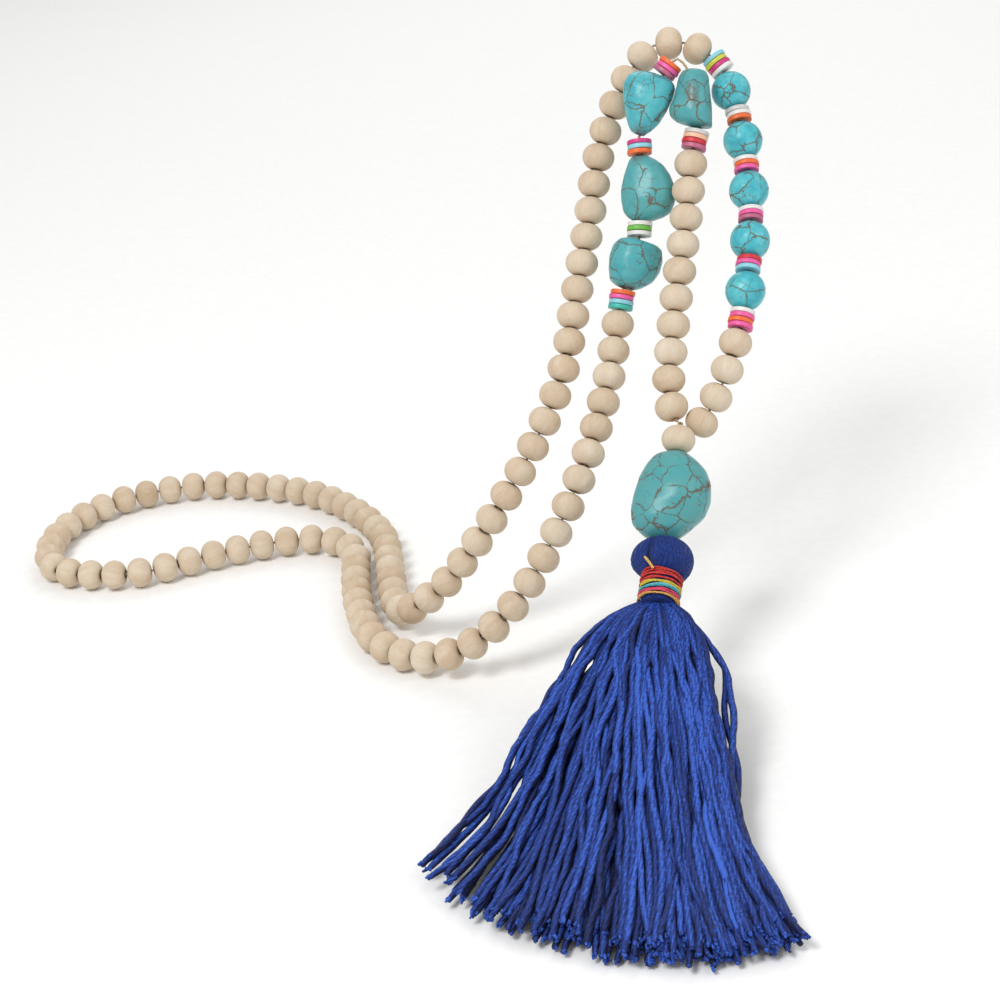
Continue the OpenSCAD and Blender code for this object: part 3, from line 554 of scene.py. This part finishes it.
# Sections of a tumbled stone, from its lower end up. Columns: place along its length, half width
# and half depth as shares of its width, how far its middle lies to the right of the thread and
# behind it, and how far its right side rises, as shares of its width too.
NUGGET_FORM = {
    1: [[0, 0.13, 0.13, -0.03, 0, 0], [0.05, 0.19, 0.19, -0.05, 0, 0], [0.15, 0.28, 0.27, -0.07, 0, -0.02],
        [0.3, 0.38, 0.36, -0.09, 0, -0.02], [0.5, 0.47, 0.42, -0.12, 0, 0],
        [0.7, 0.5, 0.42, -0.14, 0, 0.03], [0.86, 0.47, 0.37, -0.14, 0, 0.04],
        [0.96, 0.37, 0.27, -0.14, 0.01, 0.03], [1, 0.2, 0.17, -0.1, 0.01, 0]],
    2: [[0, 0.18, 0.16, 0.02, 0, -0.04], [0.03, 0.35, 0.3, -0.05, 0, -0.12],
        [0.11, 0.45, 0.39, -0.1, 0, -0.2], [0.24, 0.46, 0.43, -0.09, 0, -0.19],
        [0.45, 0.42, 0.43, 0, 0.01, -0.12], [0.68, 0.39, 0.39, 0.06, 0.01, -0.06],
        [0.87, 0.35, 0.33, 0.11, 0.01, -0.04], [0.97, 0.27, 0.24, 0.12, 0, -0.02],
        [1, 0.16, 0.15, 0.03, 0, 0]],
    3: [[0, 0.18, 0.17, 0.07, 0, 0], [0.04, 0.3, 0.27, 0.1, 0, 0], [0.13, 0.42, 0.37, 0.13, 0.01, -0.02],
        [0.3, 0.48, 0.42, 0.15, 0.01, -0.02], [0.5, 0.475, 0.41, 0.16, 0.01, 0],
        [0.7, 0.41, 0.36, 0.14, 0, 0.01], [0.85, 0.32, 0.29, 0.1, 0, 0.01], [0.95, 0.23, 0.2, 0.05, 0, 0],
        [1, 0.14, 0.13, 0.02, 0, 0]],
    4: [[0, 0.14, 0.14, 0.02, 0, 0], [0.05, 0.25, 0.25, 0.05, 0, 0.03],
        [0.18, 0.39, 0.37, 0.07, 0.01, 0.09], [0.4, 0.48, 0.43, 0.07, 0.01, 0.11],
        [0.64, 0.5, 0.43, 0.04, 0.01, 0.11], [0.86, 0.46, 0.38, 0, 0, 0.08],
        [0.97, 0.36, 0.31, -0.02, 0, 0.04], [1, 0.2, 0.2, -0.01, 0, 0]]}
PENDANT_FORM = [
    [0, 0.1, 0.1, -0.01, 0, 0], [0.03, 0.16, 0.17, -0.03, 0, 0.02], [0.11, 0.27, 0.29, -0.01, 0, 0.06],
    [0.24, 0.41, 0.38, 0.01, 0, 0.1], [0.4, 0.46, 0.42, 0.02, 0, 0.1], [0.57, 0.45, 0.41, 0.02, 0, 0.1],
    [0.74, 0.39, 0.36, 0, 0, 0.07], [0.88, 0.29, 0.28, -0.03, 0, 0.04], [0.97, 0.2, 0.18, -0.04, 0, 0.01],
    [1, 0.11, 0.11, 0, 0, 0]]
# Steps along a stone in which its sections are blended, and how many of them each blend takes in
BLEND_STEPS, BLEND = 240, 25
# Share of a plane's reach past which it rubs, and share of what stands past it that goes
RUB_REACH, RUB_SHARE = 0.91, 0.4


def blended(form, t):
    """Each column of the sections at t: straight lines between them, rounded by a sliding mean
    whose weights are a Hann window. Past an end the line goes on as its own image turned about it."""
    form = np.array(form, float)
    steps = np.linspace(0, 1, BLEND_STEPS + 1)
    weights, half = np.hanning(BLEND) / np.hanning(BLEND).sum(), BLEND // 2
    for c in range(1, 6):
        line = np.interp(steps, form[:, 0], form[:, c])
        padded = np.concatenate([2 * line[0] - line[half:0:-1], line, 2 * line[-1] - line[-2:-2 - half:-1]])
        yield np.interp(t, steps, np.convolve(padded, weights, "valid"))[:, None]


def tumbled_stone(name, low, high, form, width, lean, flats, dullness, pools=()):
    """Ovals blended along the stone, each swollen by 5 % in three crests and drawn in by 3 % in two,
    and turned on by up to 60 degrees from its lean, then rubbed flat by planes: what stands past a
    plane is pressed back by part of its height. Pools are dark spots, a bell curve of the distance:
    their height and turn on the stone, radius in mm and strength. Dullness greys the stone."""
    t = (1 - np.cos(np.linspace(0, np.pi, STONE_ROWS))) / 2
    half_w, half_d, right, back, rise = blended(form, t)
    a = around(STONE_COLUMNS)[None]
    turn = np.radians(lean + 60 * t)[:, None]
    swell = 1 + 0.05 * np.cos(3 * a + turn) - 0.03 * np.cos(2 * a - turn)
    x = width * (right + half_w * swell * np.cos(a))
    y = width * (back + half_d * swell * np.sin(a))
    z = (t[:, None] - 0.5) * np.linalg.norm(high - low) + width * rise * np.cos(a)
    outer = np.stack([x, y, z], -1)
    inside = np.minimum(1, 4 * np.minimum(t, 1 - t))[:, None, None]
    away = unit(outer - outer.mean(1, keepdims=True))
    for way in unit(random.normal(0, 1, (flats, 3)) * [1, 1, 0.45]):
        reach = outer @ way
        over = reach - RUB_REACH * reach.max()
        pressed = RUB_SHARE * inside[..., 0] * np.logaddexp(0, over * 3) / 3
        outer = outer - pressed[..., None] * way * [1, 1, 0.3]
    outer = outer + away * inside * lumps(outer, width * 0.55, 0.1)[..., None]
    local = with_bore(outer)[None]
    pool = np.zeros(local.shape[:3])
    for height, angle, size, strength in pools:
        aim = outer[int(height * STONE_ROWS), int(angle / 360 * STONE_COLUMNS) % STONE_COLUMNS]
        distance = np.linalg.norm((local - aim) * [1, 1, 0.55], axis=-1)
        pool += strength * np.exp(-(distance / size) ** 2)
    polished(name, local, placing(low, high), pool, dullness)


# Columns: nugget, its place past the left column's wood beads, whether the route climbs through it,
# lean, dullness, pools
STONES = ((1, 3, False, 40, 0.25, [(0.06, 280, 2.6, 0.62)]),
          (2, 1, True, 200, 0.7, [(0.5, 262, 2.4, 0.66), (0.1, 320, 2, 0.55)]),
          (3, 5, False, 110, 0.7, [(0.86, 240, 2.4, 0.55)]),
          (4, 7, False, 300, 0.5, [(0.08, 310, 2.6, 0.62)]))
for number, index, climbs, lean, dullness, pools in STONES:
    first, last = LEFT[LEFT_WOOD + index]
    low, high = (first, last) if climbs else (last, first)
    tumbled_stone(f"nugget_{number}", at(low), at(high), NUGGET_FORM[number], NUGGET_W[number], lean, 6,
                  dullness, pools)
tumbled_stone("pendant_nugget", PENDANT_END, PENDANT_TOP, PENDANT_FORM, PENDANT_W, 150, 7, 0.72,
              [(0.53, 325, 1.1, 1)])

# Clay discs: radius of the rim's rounding, and columns
DISC_EDGE, DISC_COLUMNS = 0.14, 36
# Share of the play of its hole by which a disc lies off the thread, and its turn from disc to disc,
# from stack to stack and from one column to the other
DISC_PLAY, DISC_TURN, STACK_TURN, RIGHT_TURN = 0.1, 140, 50, 30


def disc_form():
    """A disc about its hole: a flat ring whose outer rim is rounded."""
    r, h, b = DISC_D / 2, DISC_T / 2, DISC_BORE / 2
    turn = np.linspace(-np.pi / 2, 0, 4)
    rim = np.stack([r - DISC_EDGE + DISC_EDGE * np.cos(turn), -h + DISC_EDGE + DISC_EDGE * np.sin(turn)], -1)
    upper = rim[::-1] * [1, -1]
    profile = np.vstack([[b, -h], [(b + r) / 2, -h], rim, upper, [(b + r) / 2, h], [b, h]])
    return revolved(profile[:, 0], profile[:, 1], DISC_COLUMNS)


def disc_stack(name, place, dyes, turn):
    """Discs side by side on the thread, each off its middle by a share of the play of its hole."""
    axes, middle = placing(at(place[0]), at(place[1]))
    frames = []
    for i in range(len(dyes)):
        way = math.radians(turn + DISC_TURN * i)
        off = (DISC_BORE - THREAD_D) * DISC_PLAY * np.array([math.cos(way), math.sin(way)])
        z = (i - (len(dyes) - 1) / 2) * (DISC_T + BEAD_GAP)
        frames.append((axes, middle + off[0] * axes[0] + off[1] * axes[1] + z * axes[2]))
    form = disc_form()
    local = np.broadcast_to(form, (len(dyes),) + form.shape)
    used = sorted(set(dyes))
    surface(name + "_cut", placed(local, frames), [name], "disc_" + dyes[0], [CLAY[d] for d in used],
            material_of=np.array([used.index(d) for d in dyes]))


# Dyes of each stack from the joint bead on
LEFT_DYES = (("mauve", "red", "peach", "grey_white"), ("orange", "pink", "mauve"),
             ("magenta", "light_blue", "orange"), ("white", "green", "white"),
             ("orange", "pink", "light_blue", "teal"))
RIGHT_DYES = (("pink", "orange", "pink", "white"), ("light_blue", "pink", "red"), ("mauve", "pink", "white"),
              ("pink", "orange", "white"), ("orange", "white", "grey_white"),
              ("white", "magenta", "lime", "light_blue"))
for number, dyes in enumerate(LEFT_DYES):
    disc_stack(f"discs_a{number}", LEFT[LEFT_WOOD + 2 * number], dyes, STACK_TURN * number)
for number, dyes in enumerate(RIGHT_DYES):
    disc_stack(f"discs_b{number}", RIGHT[RIGHT_WOOD + 2 * number], dyes, RIGHT_TURN + STACK_TURN * number)


# Tassel


def rings_about(paths):
    """The two axes square to each path at its points: one level, the other upward from it."""
    way = unit(np.gradient(paths, axis=1))
    side = unit(np.cross(way, [0.0, 0.0, 1.0]))
    return side, np.cross(side, way)


def tube(paths, radii, columns):
    """Tubes about k paths (k, m, 3): each ring is a circle on the two axes square to its path."""
    side, up = rings_about(paths)
    theta = around(columns)
    ring = side[:, :, None] * np.cos(theta)[:, None] + up[:, :, None] * np.sin(theta)[:, None]
    return paths[:, :, None] + radii[..., None, None] * ring


ACROSS = unit(np.array([-DROP_2[1], DROP_2[0], 0]))
# Columns: place across the fan from left to right, direction of the tip as a share of the fan's
# angle, distance of the tip as a share of the skirt's length.
TIPS = np.array([[-1, -0.71, 0.83], [-0.75, -0.46, 0.89], [-0.5, -0.27, 0.95], [-0.2, -0.08, 0.98],
                 [0.2, 0.08, 1], [0.6, 0.2, 0.99], [1, 0.29, 0.98]])
# Half thickness of the skirt along its length, as a share
SKIRT_FORM = np.array([[0, 0.34], [0.1, 0.62], [0.3, 0.62], [0.6, 0.5], [1, 0.36]])
# As in the part's source: a path starts this far up in the neck, across a share of its diameter,
ROOT_DEPTH, ROOT_WIDTH = 0.4, 0.32
# leaves along the drop by a share of the skirt's length and spreads sideways, wider on the left,
DROP_REACH, SPREAD_LEFT, SPREAD_RIGHT = 0.14, 0.23, 0.19
# and comes down to the floor at a share of the way back from its tip, the right-hand ones drawn in.
TIP_BACK, DRAWN_IN = 0.45, 0.08
# Heights above the floor at the tip and where it lands, as shares of the skirt's thickness
TIP_RISE, LANDING_RISE = 0.38, 0.5


def yarn_paths(u, t):
    """Cubic Bezier from the neck to each tip: out of the neck along the drop, then down to the floor."""
    a = np.radians(FAN_HEADING + FAN_ANGLE * np.interp(u, TIPS[:, 0], TIPS[:, 1]))
    far = SKIRT_L * np.interp(u, TIPS[:, 0], TIPS[:, 2])
    tips = np.stack([NECK_END[0] + far * np.cos(a), NECK_END[1] + far * np.sin(a),
                     0 * u + FLOOR + SKIRT_T * TIP_RISE], -1)
    start = NECK_END - DROP_2 * ROOT_DEPTH + ACROSS * u[:, None] * NECK_D * ROOT_WIDTH
    wide = np.where(u < 0, SPREAD_LEFT, SPREAD_RIGHT)[:, None]
    second = NECK_END + DROP_2 * SKIRT_L * DROP_REACH + ACROSS * u[:, None] * SKIRT_L * wide
    third = tips + (NECK_END - tips) * TIP_BACK - ACROSS * np.maximum(0, u)[:, None] * SKIRT_L * DRAWN_IN
    third[:, 2] = FLOOR + SKIRT_T * LANDING_RISE
    a, b, c, d = (p[:, None] for p in (start, second, third, tips))
    t = t[..., None]
    return a * (1 - t)**3 + 3 * b * t * (1 - t)**2 + 3 * c * t * t * (1 - t) + d * t**3


# A yarn's radius, and the steps along and sides of a yarn and of a cut ply
YARN_R, YARN_STEPS, YARN_SIDES, PLY_STEPS, PLY_SIDES = 0.8, 64, 8, 6, 6
# Waves that make a yarn wander: how many on its length, and how far, in mm
WANDER = ((1.2, 1.1), (2.6, 0.6), (5, 0.3), (9, 0.14), (17, 0.06))
# Shares of the wander that go sideways and upwards
SIDEWAYS, UPWARDS = 0.85, 0.6
# Yarn radius along its length, as a share: drawn tight at the neck, fuller where it hangs free
FULLNESS = np.array([[0, 0.75], [0.12, 0.9], [0.4, 1], [0.97, 1.04], [1, 0.8]])
# Tones: spread from yarn to yarn, painted light on the upper layers, painted shade at both ends, painted
# shade on the flanks by a sine round a yarn, and its middle
TONE_SPREAD, TOP_PAINTED_LIGHT, ENDS_PAINTED_SHADE, FLANK_PAINTED_SHADE, MIDDLE_TONE = 0.11, 0.08, 0.12, 0.52, -0.57


def wave(size, number, t):
    """A sine of random height and start for each yarn."""
    height = random.normal(0, 1, (len(t), 1))
    return size * height * np.sin(2 * np.pi * number * t + any_start((len(t), 1)))


def yarns(name, u, layer, replaces=()):
    """Loose yarns of the skirt. Layer runs from -1 underneath to 1 on top. Each wanders sideways
    and up by slow waves that grow towards its tip, and ends at its own length. Its tone holds
    painted light and shade: painted light on the upper layers, painted shade where its flanks crowd
    against its neighbours, by the sine round it, and by the square of its distance from its own
    middle, where less light gets in. Gives back the tips and where they point."""
    k = len(u)
    full = random.uniform(0.94, 1.0, k)
    t = np.linspace(0, 1, YARN_STEPS)[None] * full[:, None]
    paths = yarn_paths(u, t)
    side, up = rings_about(paths)
    thick = SKIRT_T * np.interp(t, SKIRT_FORM[:, 0], SKIRT_FORM[:, 1]) - YARN_R
    sway = np.zeros((k, YARN_STEPS))
    lift = np.zeros((k, YARN_STEPS))
    for waves, size in WANDER:
        number = random.uniform(0.7, 1.3, (k, 1)) * waves
        sway += wave(size, number, t)
        lift += wave(0.5 * size, number, t)
    grow = np.minimum(1, t * 4)
    paths = paths + side * (sway * grow * SIDEWAYS)[..., None]
    paths = paths + up * (thick * layer[:, None] + lift * grow * UPWARDS)[..., None]
    paths[..., 2] = np.maximum(paths[..., 2], FLOOR + YARN_R)
    own = t / full[:, None]
    radii = YARN_R * np.interp(own, FULLNESS[:, 0], FULLNESS[:, 1]) * random.uniform(0.88, 1.08, (k, 1))
    # A random tone for each yarn, with painted light on the upper layers and painted shade towards both ends
    tone = random.normal(0, TONE_SPREAD, (k, 1, 1)) + TOP_PAINTED_LIGHT * layer[:, None, None]
    tone = tone - ENDS_PAINTED_SHADE * ((2 * t - 1) ** 2)[..., None]
    # Painted shade round each yarn: lightest on its top, darker on its flanks where its neighbours crowd it,
    # darkest underneath
    painted_flank_shade = FLANK_PAINTED_SHADE * np.sin(around(YARN_SIDES)) + MIDDLE_TONE
    surface(name, tube(paths, radii, YARN_SIDES), replaces, "tassel_cotton", [YARN_COTTON],
            closed_rows=False, scale_uv=np.linspace(0, SKIRT_L, YARN_STEPS), tone=tone + painted_flank_shade,
            phase=random.random((k, 1, 1)))
    return paths[:, -1], unit(paths[:, -1] - paths[:, -3])


def spread(count, edge):
    """Places across the fan: steps that widen towards its edges, by the power 1.12 of the distance
    from the middle, each nudged by up to a step."""
    even = np.linspace(-1, 1, count) + random.uniform(-1.6, 1.6, count) / count
    return edge * np.sign(even) * np.abs(even) ** 1.12


def cut_tips(ends, plies=4):
    """Where a yarn is cut its plies part: tapered strands 0.6 to 1.5 mm long that fan out from the
    tip, each straight but for a random bend that grows with the square of its length."""
    places, ways = (np.repeat(np.vstack([e[i] for e in ends]), plies, axis=0) for i in (0, 1))
    count = len(places)
    aim = unit(ways + random.normal(0, 0.24, (count, 3)) * [1, 1, 0.5])
    length = random.uniform(0.6, 1.5, (count, 1))
    t = np.linspace(0, 1, PLY_STEPS)
    bend = random.normal(0, 0.25, (count, 1, 3)) * (t ** 2)[None, :, None]
    reach = (aim[:, None] * length[..., None] + bend) * t[None, :, None]
    paths = places[:, None] - ways[:, None] * 0.5 + reach
    paths += random.normal(0, 0.25, (count, 1, 3))
    radii = random.uniform(0.3, 0.45, (count, 1)) * (1 - 0.35 * t[None] ** 2)
    paths[..., 2] = np.maximum(paths[..., 2], FLOOR + 0.4)
    surface("skirt_cut_plies", tube(paths, radii, PLY_SIDES), (), "tassel_cotton", [YARN_COTTON],
            closed_rows=False, scale_uv=t * 2, tone=random.normal(-0.02, 0.1, (count, 1, 1)),
            phase=random.random((count, 1, 1)))


TOP_YARNS, SECOND_YARNS, INNER_YARNS = 50, 46, (42, 38, 34)
ENDS = [yarns("skirt_yarns_top", np.concatenate([spread(TOP_YARNS, 1.04), spread(SECOND_YARNS, 0.97)]),
              np.repeat([0.95, 0.4], [TOP_YARNS, SECOND_YARNS]), ["tassel"]),
        yarns("skirt_yarns_under", np.concatenate([spread(n, 0.88) for n in INNER_YARNS]),
              np.repeat([0, -0.4, -0.9], INNER_YARNS))]
cut_tips(ENDS)
# Two yarns that hang free of the right edge, so that light shows between
yarns("skirt_yarns_stray", np.array([1.3, 1.42]), np.array([0.1, -0.2]))

# Radius of the ball's round side, and the angle past its widest ring at which it ends at the neck
HEAD_R, BALL_END = HEAD_L * 0.52, math.radians(62)
# Rows of the ball's mouth, its side, the neck and the inside, ribs round it and columns to a rib
MOUTH_ROWS, BALL_ROWS, NECK_ROWS, INNER_ROWS = 3, 44, 30, 6
RIBS, RIB_COLUMNS = 44, 6
# Turns of the head's fold, of the bulge beside it and of the flatter side, about the neck's axis
FOLD, BULGE, FLAT = math.radians(299), math.radians(343), math.radians(180)


def bump(theta, middle, width):
    """A bell curve round the head: e to the minus square of the turn from its middle over its width."""
    return np.exp(-(np.angle(np.exp(1j * (theta - middle))) / width) ** 2)


def down_head(rows, values, neck):
    """A value for each row of the head: straight lines between the given rows down the ball, one
    value on the neck, and nothing in the mouth and inside."""
    ball = np.interp(np.arange(BALL_ROWS), rows, values)
    parts = [np.zeros(MOUTH_ROWS), ball, np.full(NECK_ROWS, neck), np.zeros(INNER_ROWS)]
    return np.concatenate(parts)[:, None]


def ball_head():
    """The folded bundle that makes the head: a ball drawn in to the neck, ribbed by the yarns that
    run over it from the top hole to the bindings, as the absolute cosine of the turn. One side
    bulges over a fold beside it."""
    turn = np.linspace(-np.pi / 2, BALL_END, BALL_ROWS)
    ball = np.stack([HEAD_D / 2 - HEAD_R + HEAD_R * np.cos(turn), HEAD_R + HEAD_R * np.sin(turn)], -1)
    neck_z = np.linspace(ball[-1, 1] + 0.6, HEAD_L + NECK_L, NECK_ROWS)
    neck = np.stack([np.full(NECK_ROWS, NECK_D / 2), neck_z], -1)
    hole = STONE_BORE / 2
    mouth = np.array([[hole, 1.2], [hole, 0.4], [hole + 0.3, 0.05]])
    inner = np.stack([np.full(INNER_ROWS, 0.5), np.linspace(HEAD_L + NECK_L - 0.2, 2, INNER_ROWS)], -1)
    profile = np.vstack([mouth, ball, neck, inner])
    theta = around(RIBS * RIB_COLUMNS)
    rows = np.arange(len(profile))[:, None]
    wander = 0.07 * np.sin(rows * 0.19 + 3 * theta) + 0.05 * np.sin(rows * 0.31 - 7 * theta)
    flute = np.abs(np.cos(RIBS / 2 * (theta + wander))) - 1
    depth = down_head([0, 12, 44], [0.06, 0.22, 0.26], 0.3)
    on_ball = down_head([6, 26, 39, 43], [0, 0.5, 1, 0.75], 0)
    fold = 1.4 * bump(theta, BULGE, 0.4) - 0.9 * bump(theta, FOLD, 0.13) - 0.5 * bump(theta, FLAT, 0.6)
    twist = np.linspace(0, 0.35, len(profile))[:, None]
    radius = profile[:, :1] + depth * flute + on_ball * fold
    local = polar(radius, theta + twist, profile[:, 1:] - HEAD_LIFT)[None]
    along = np.concatenate([[0], np.cumsum(np.linalg.norm(np.diff(profile, axis=0), axis=1))])
    # Painted shade in the grooves between the ribs and in the fold, on a darker base tone
    tone = -0.14 + 0.1 * flute - 0.3 * on_ball * bump(theta, FOLD, 0.1)
    surface("head_of_yarn", placed(local, [(HEAD_AXES, HEAD_TOP)]), (), "tassel_cotton", [HEAD_COTTON],
            scale_uv=along, tone=tone[None], phase=np.zeros((1, 1, 1)))


ball_head()

# Strands side by side in a bound turn, and the points round a turn and round a strand
STRANDS, TURN_STEPS, STRAND_SIDES = 2, 180, 10


def ripple(size, crests, theta):
    """A sine with this many crests on the way round, from a random start."""
    return size * np.sin(crests * theta + any_start())


def binding(name, turns):
    """Thread drawn tight round the neck. Each turn is a few rings side by side, which rise and fall
    and stand out a little as they go round, by sines of random start."""
    theta = around(TURN_STEPS)
    phi = around(STRAND_SIDES)
    thin = BINDING_D / STRANDS * 0.56
    rings = []
    for turn in turns:
        for i in range(STRANDS):
            low = (i - (STRANDS - 1) / 2) * BINDING_D / STRANDS
            level = HEAD_L + turn * TURN + low + random.normal(0, 0.05)
            rise = (ripple(0.16, 1, theta) + ripple(0.08, 2, theta) + ripple(0.05, 5, theta))[:, None]
            slack = 0.25 * random.random()
            big = NECK_D / 2 + BINDING_GAP + thin + slack + ripple(0.1, 3, theta)[:, None]
            across = thin * (0.9 + ripple(0.1, 8, theta))[:, None]
            out = big + across * np.cos(phi)
            rings.append(polar(out, theta[:, None], level - HEAD_LIFT + rise + across * np.sin(phi)))
    surface("binding_" + name + "_wound", placed(np.array(rings), [(HEAD_AXES, HEAD_TOP)] * len(rings)),
            ["binding_" + name], "binding_" + name, [BINDING[name]], scale_uv=theta * NECK_D / 2,
            tone=random.normal(-0.02, 0.08, (len(rings), 1, 1)), phase=random.random((len(rings), 1, 1)))


for name, turns in BINDING_TURNS.items():
    binding(name, turns)


def loose_end():
    """The end of a binding thread: it comes out from under the red turns at the left and lies up
    against the head, as a tube whose path moves out, up and round in equal steps."""
    t = np.linspace(0, 1, 14)
    turn = np.radians(296 + 13 * t)
    out = NECK_D / 2 + BINDING_D + 0.3 + 2.2 * t
    local = polar(out, turn, HEAD_L - HEAD_LIFT + 0.9 - 2.1 * t)
    radii = np.interp(t, [0, 0.8, 1], [0.28, 0.33, 0.2])[None]
    surface("binding_loose_end", tube((local @ HEAD_AXES + HEAD_TOP)[None], radii, 8), (), "binding_yellow",
            [BINDING["gold"]], closed_rows=False, scale_uv=t * 5, tone=np.full((1, 1, 1), 0.1),
            phase=np.zeros((1, 1, 1)))


loose_end()


# Thread


def waxed_thread():
    """Waxed cotton thread: plies at a slant, drawn coarser than real ones so that they show, dull
    with a little wax shine."""
    made, tree, bsdf = material("waxed_cotton_thread", Roughness=0.5, IOR=1.45)
    ply_mm = 10 / 9
    place = node(tree, "TexCoord").outputs["Object"]
    plies = node(tree, "TexWave", {"Vector": place, "Scale": 1 / (ply_mm * MM), "Distortion": 1.5},
                 bands_direction="DIAGONAL").outputs["Fac"]
    face = node(tree, "ValToRGB", {"Fac": plies}, stops=((0.0, "#8F7A58"), (1.0, "#C9B48E")))
    raised = node(tree, "Bump", {"Height": plies, "Strength": 0.4, "Distance": 0.1 * MM})
    feed(tree, bsdf, {"Base Color": face, "Normal": raised})
    return made


cad_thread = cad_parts["thread"]
cad_thread.data.materials.clear()
cad_thread.data.materials.append(waxed_thread())


# Floor, light and camera


def pale_floor():
    """A wide flat sheet just under the level of the lowest beads: seamless off-white card, faintly
    mottled."""
    made, tree, bsdf = material("matte_card", Roughness=0.9)
    mottle_mm, under = 2.5, 0.2
    place = node(tree, "TexCoord").outputs["Object"]
    mottle = node(tree, "TexNoise", {"Vector": place, "Scale": 1 / (mottle_mm * MM), "Detail": 2})
    face = node(tree, "ValToRGB", {"Fac": mottle}, stops=((0.3, "#F5F5F4"), (0.7, "#F8F8F7")))
    feed(tree, bsdf, {"Base Color": face})
    corners = np.array([[-4, -3, 0], [4, -3, 0], [4, 6, 0], [-4, 6, 0]]) + [0, 0, (FLOOR - under) * MM]
    mesh = bpy.data.meshes.new("floor")
    mesh.from_pydata(corners.tolist(), [], [(0, 1, 2, 3)])
    mesh.materials.append(made)
    floor = added("floor", mesh)


# The necklace's middle, in metres
MIDDLE = Vector((-0.07, -0.05, -0.08))


def soft_light(name, place, size, power):
    """A round lamp, its size in metres and its power in watts, that shines at the necklace's middle."""
    lamp = bpy.data.lights.new(name, "AREA")
    lamp.shape = "DISK"
    lamp.size = size
    lamp.energy = power
    holder = added(name, lamp)
    holder.location = place
    holder.rotation_euler = (MIDDLE - Vector(place)).to_track_quat("-Z", "Y").to_euler()


pale_floor()
soft_light("key", (-0.45, -0.55, 0.75), 0.4, 6)
soft_light("fill", (0.8, -0.5, 0.5), 0.9, 2.6)
soft_light("back", (0.1, 0.9, 0.7), 0.9, 3.5)
world = bpy.data.worlds.new("studio")
world.use_nodes = True
world.node_tree.nodes["Background"].inputs["Color"].default_value = (1, 1, 1, 1)
world.node_tree.nodes["Background"].inputs["Strength"].default_value = 0.55
bpy.context.scene.world = world
bpy.context.scene.view_settings.view_transform = "Standard"

# The camera stands where the photograph's perspective puts it, in metres: it looks down by 24
# degrees and leans over by about 7 degrees. Its focal length is a share of the sensor's width.
DOWN, ROLL = math.radians(24.03), math.radians(6.76)
STAND, SENSOR, FOCAL_SHARE = (-0.054, -0.526, 0.12832), 36, 2.19151
forward = np.array([0, math.cos(DOWN), -math.sin(DOWN)])
level_up = np.array([0, math.sin(DOWN), math.cos(DOWN)])
level_right = np.array([1.0, 0, 0])
right = math.cos(ROLL) * level_right - math.sin(ROLL) * level_up
upward = math.sin(ROLL) * level_right + math.cos(ROLL) * level_up
camera_data = bpy.data.cameras.new("camera")
camera_data.sensor_width = SENSOR
camera_data.lens = SENSOR * FOCAL_SHARE
camera_data.clip_end = 20
camera = added("camera", camera_data)
turned = Matrix([[right[i], upward[i], -forward[i]] for i in range(3)]).to_4x4()
turned.translation = STAND
camera.matrix_world = turned
bpy.context.scene.camera = camera

bpy.context.view_layer.update()
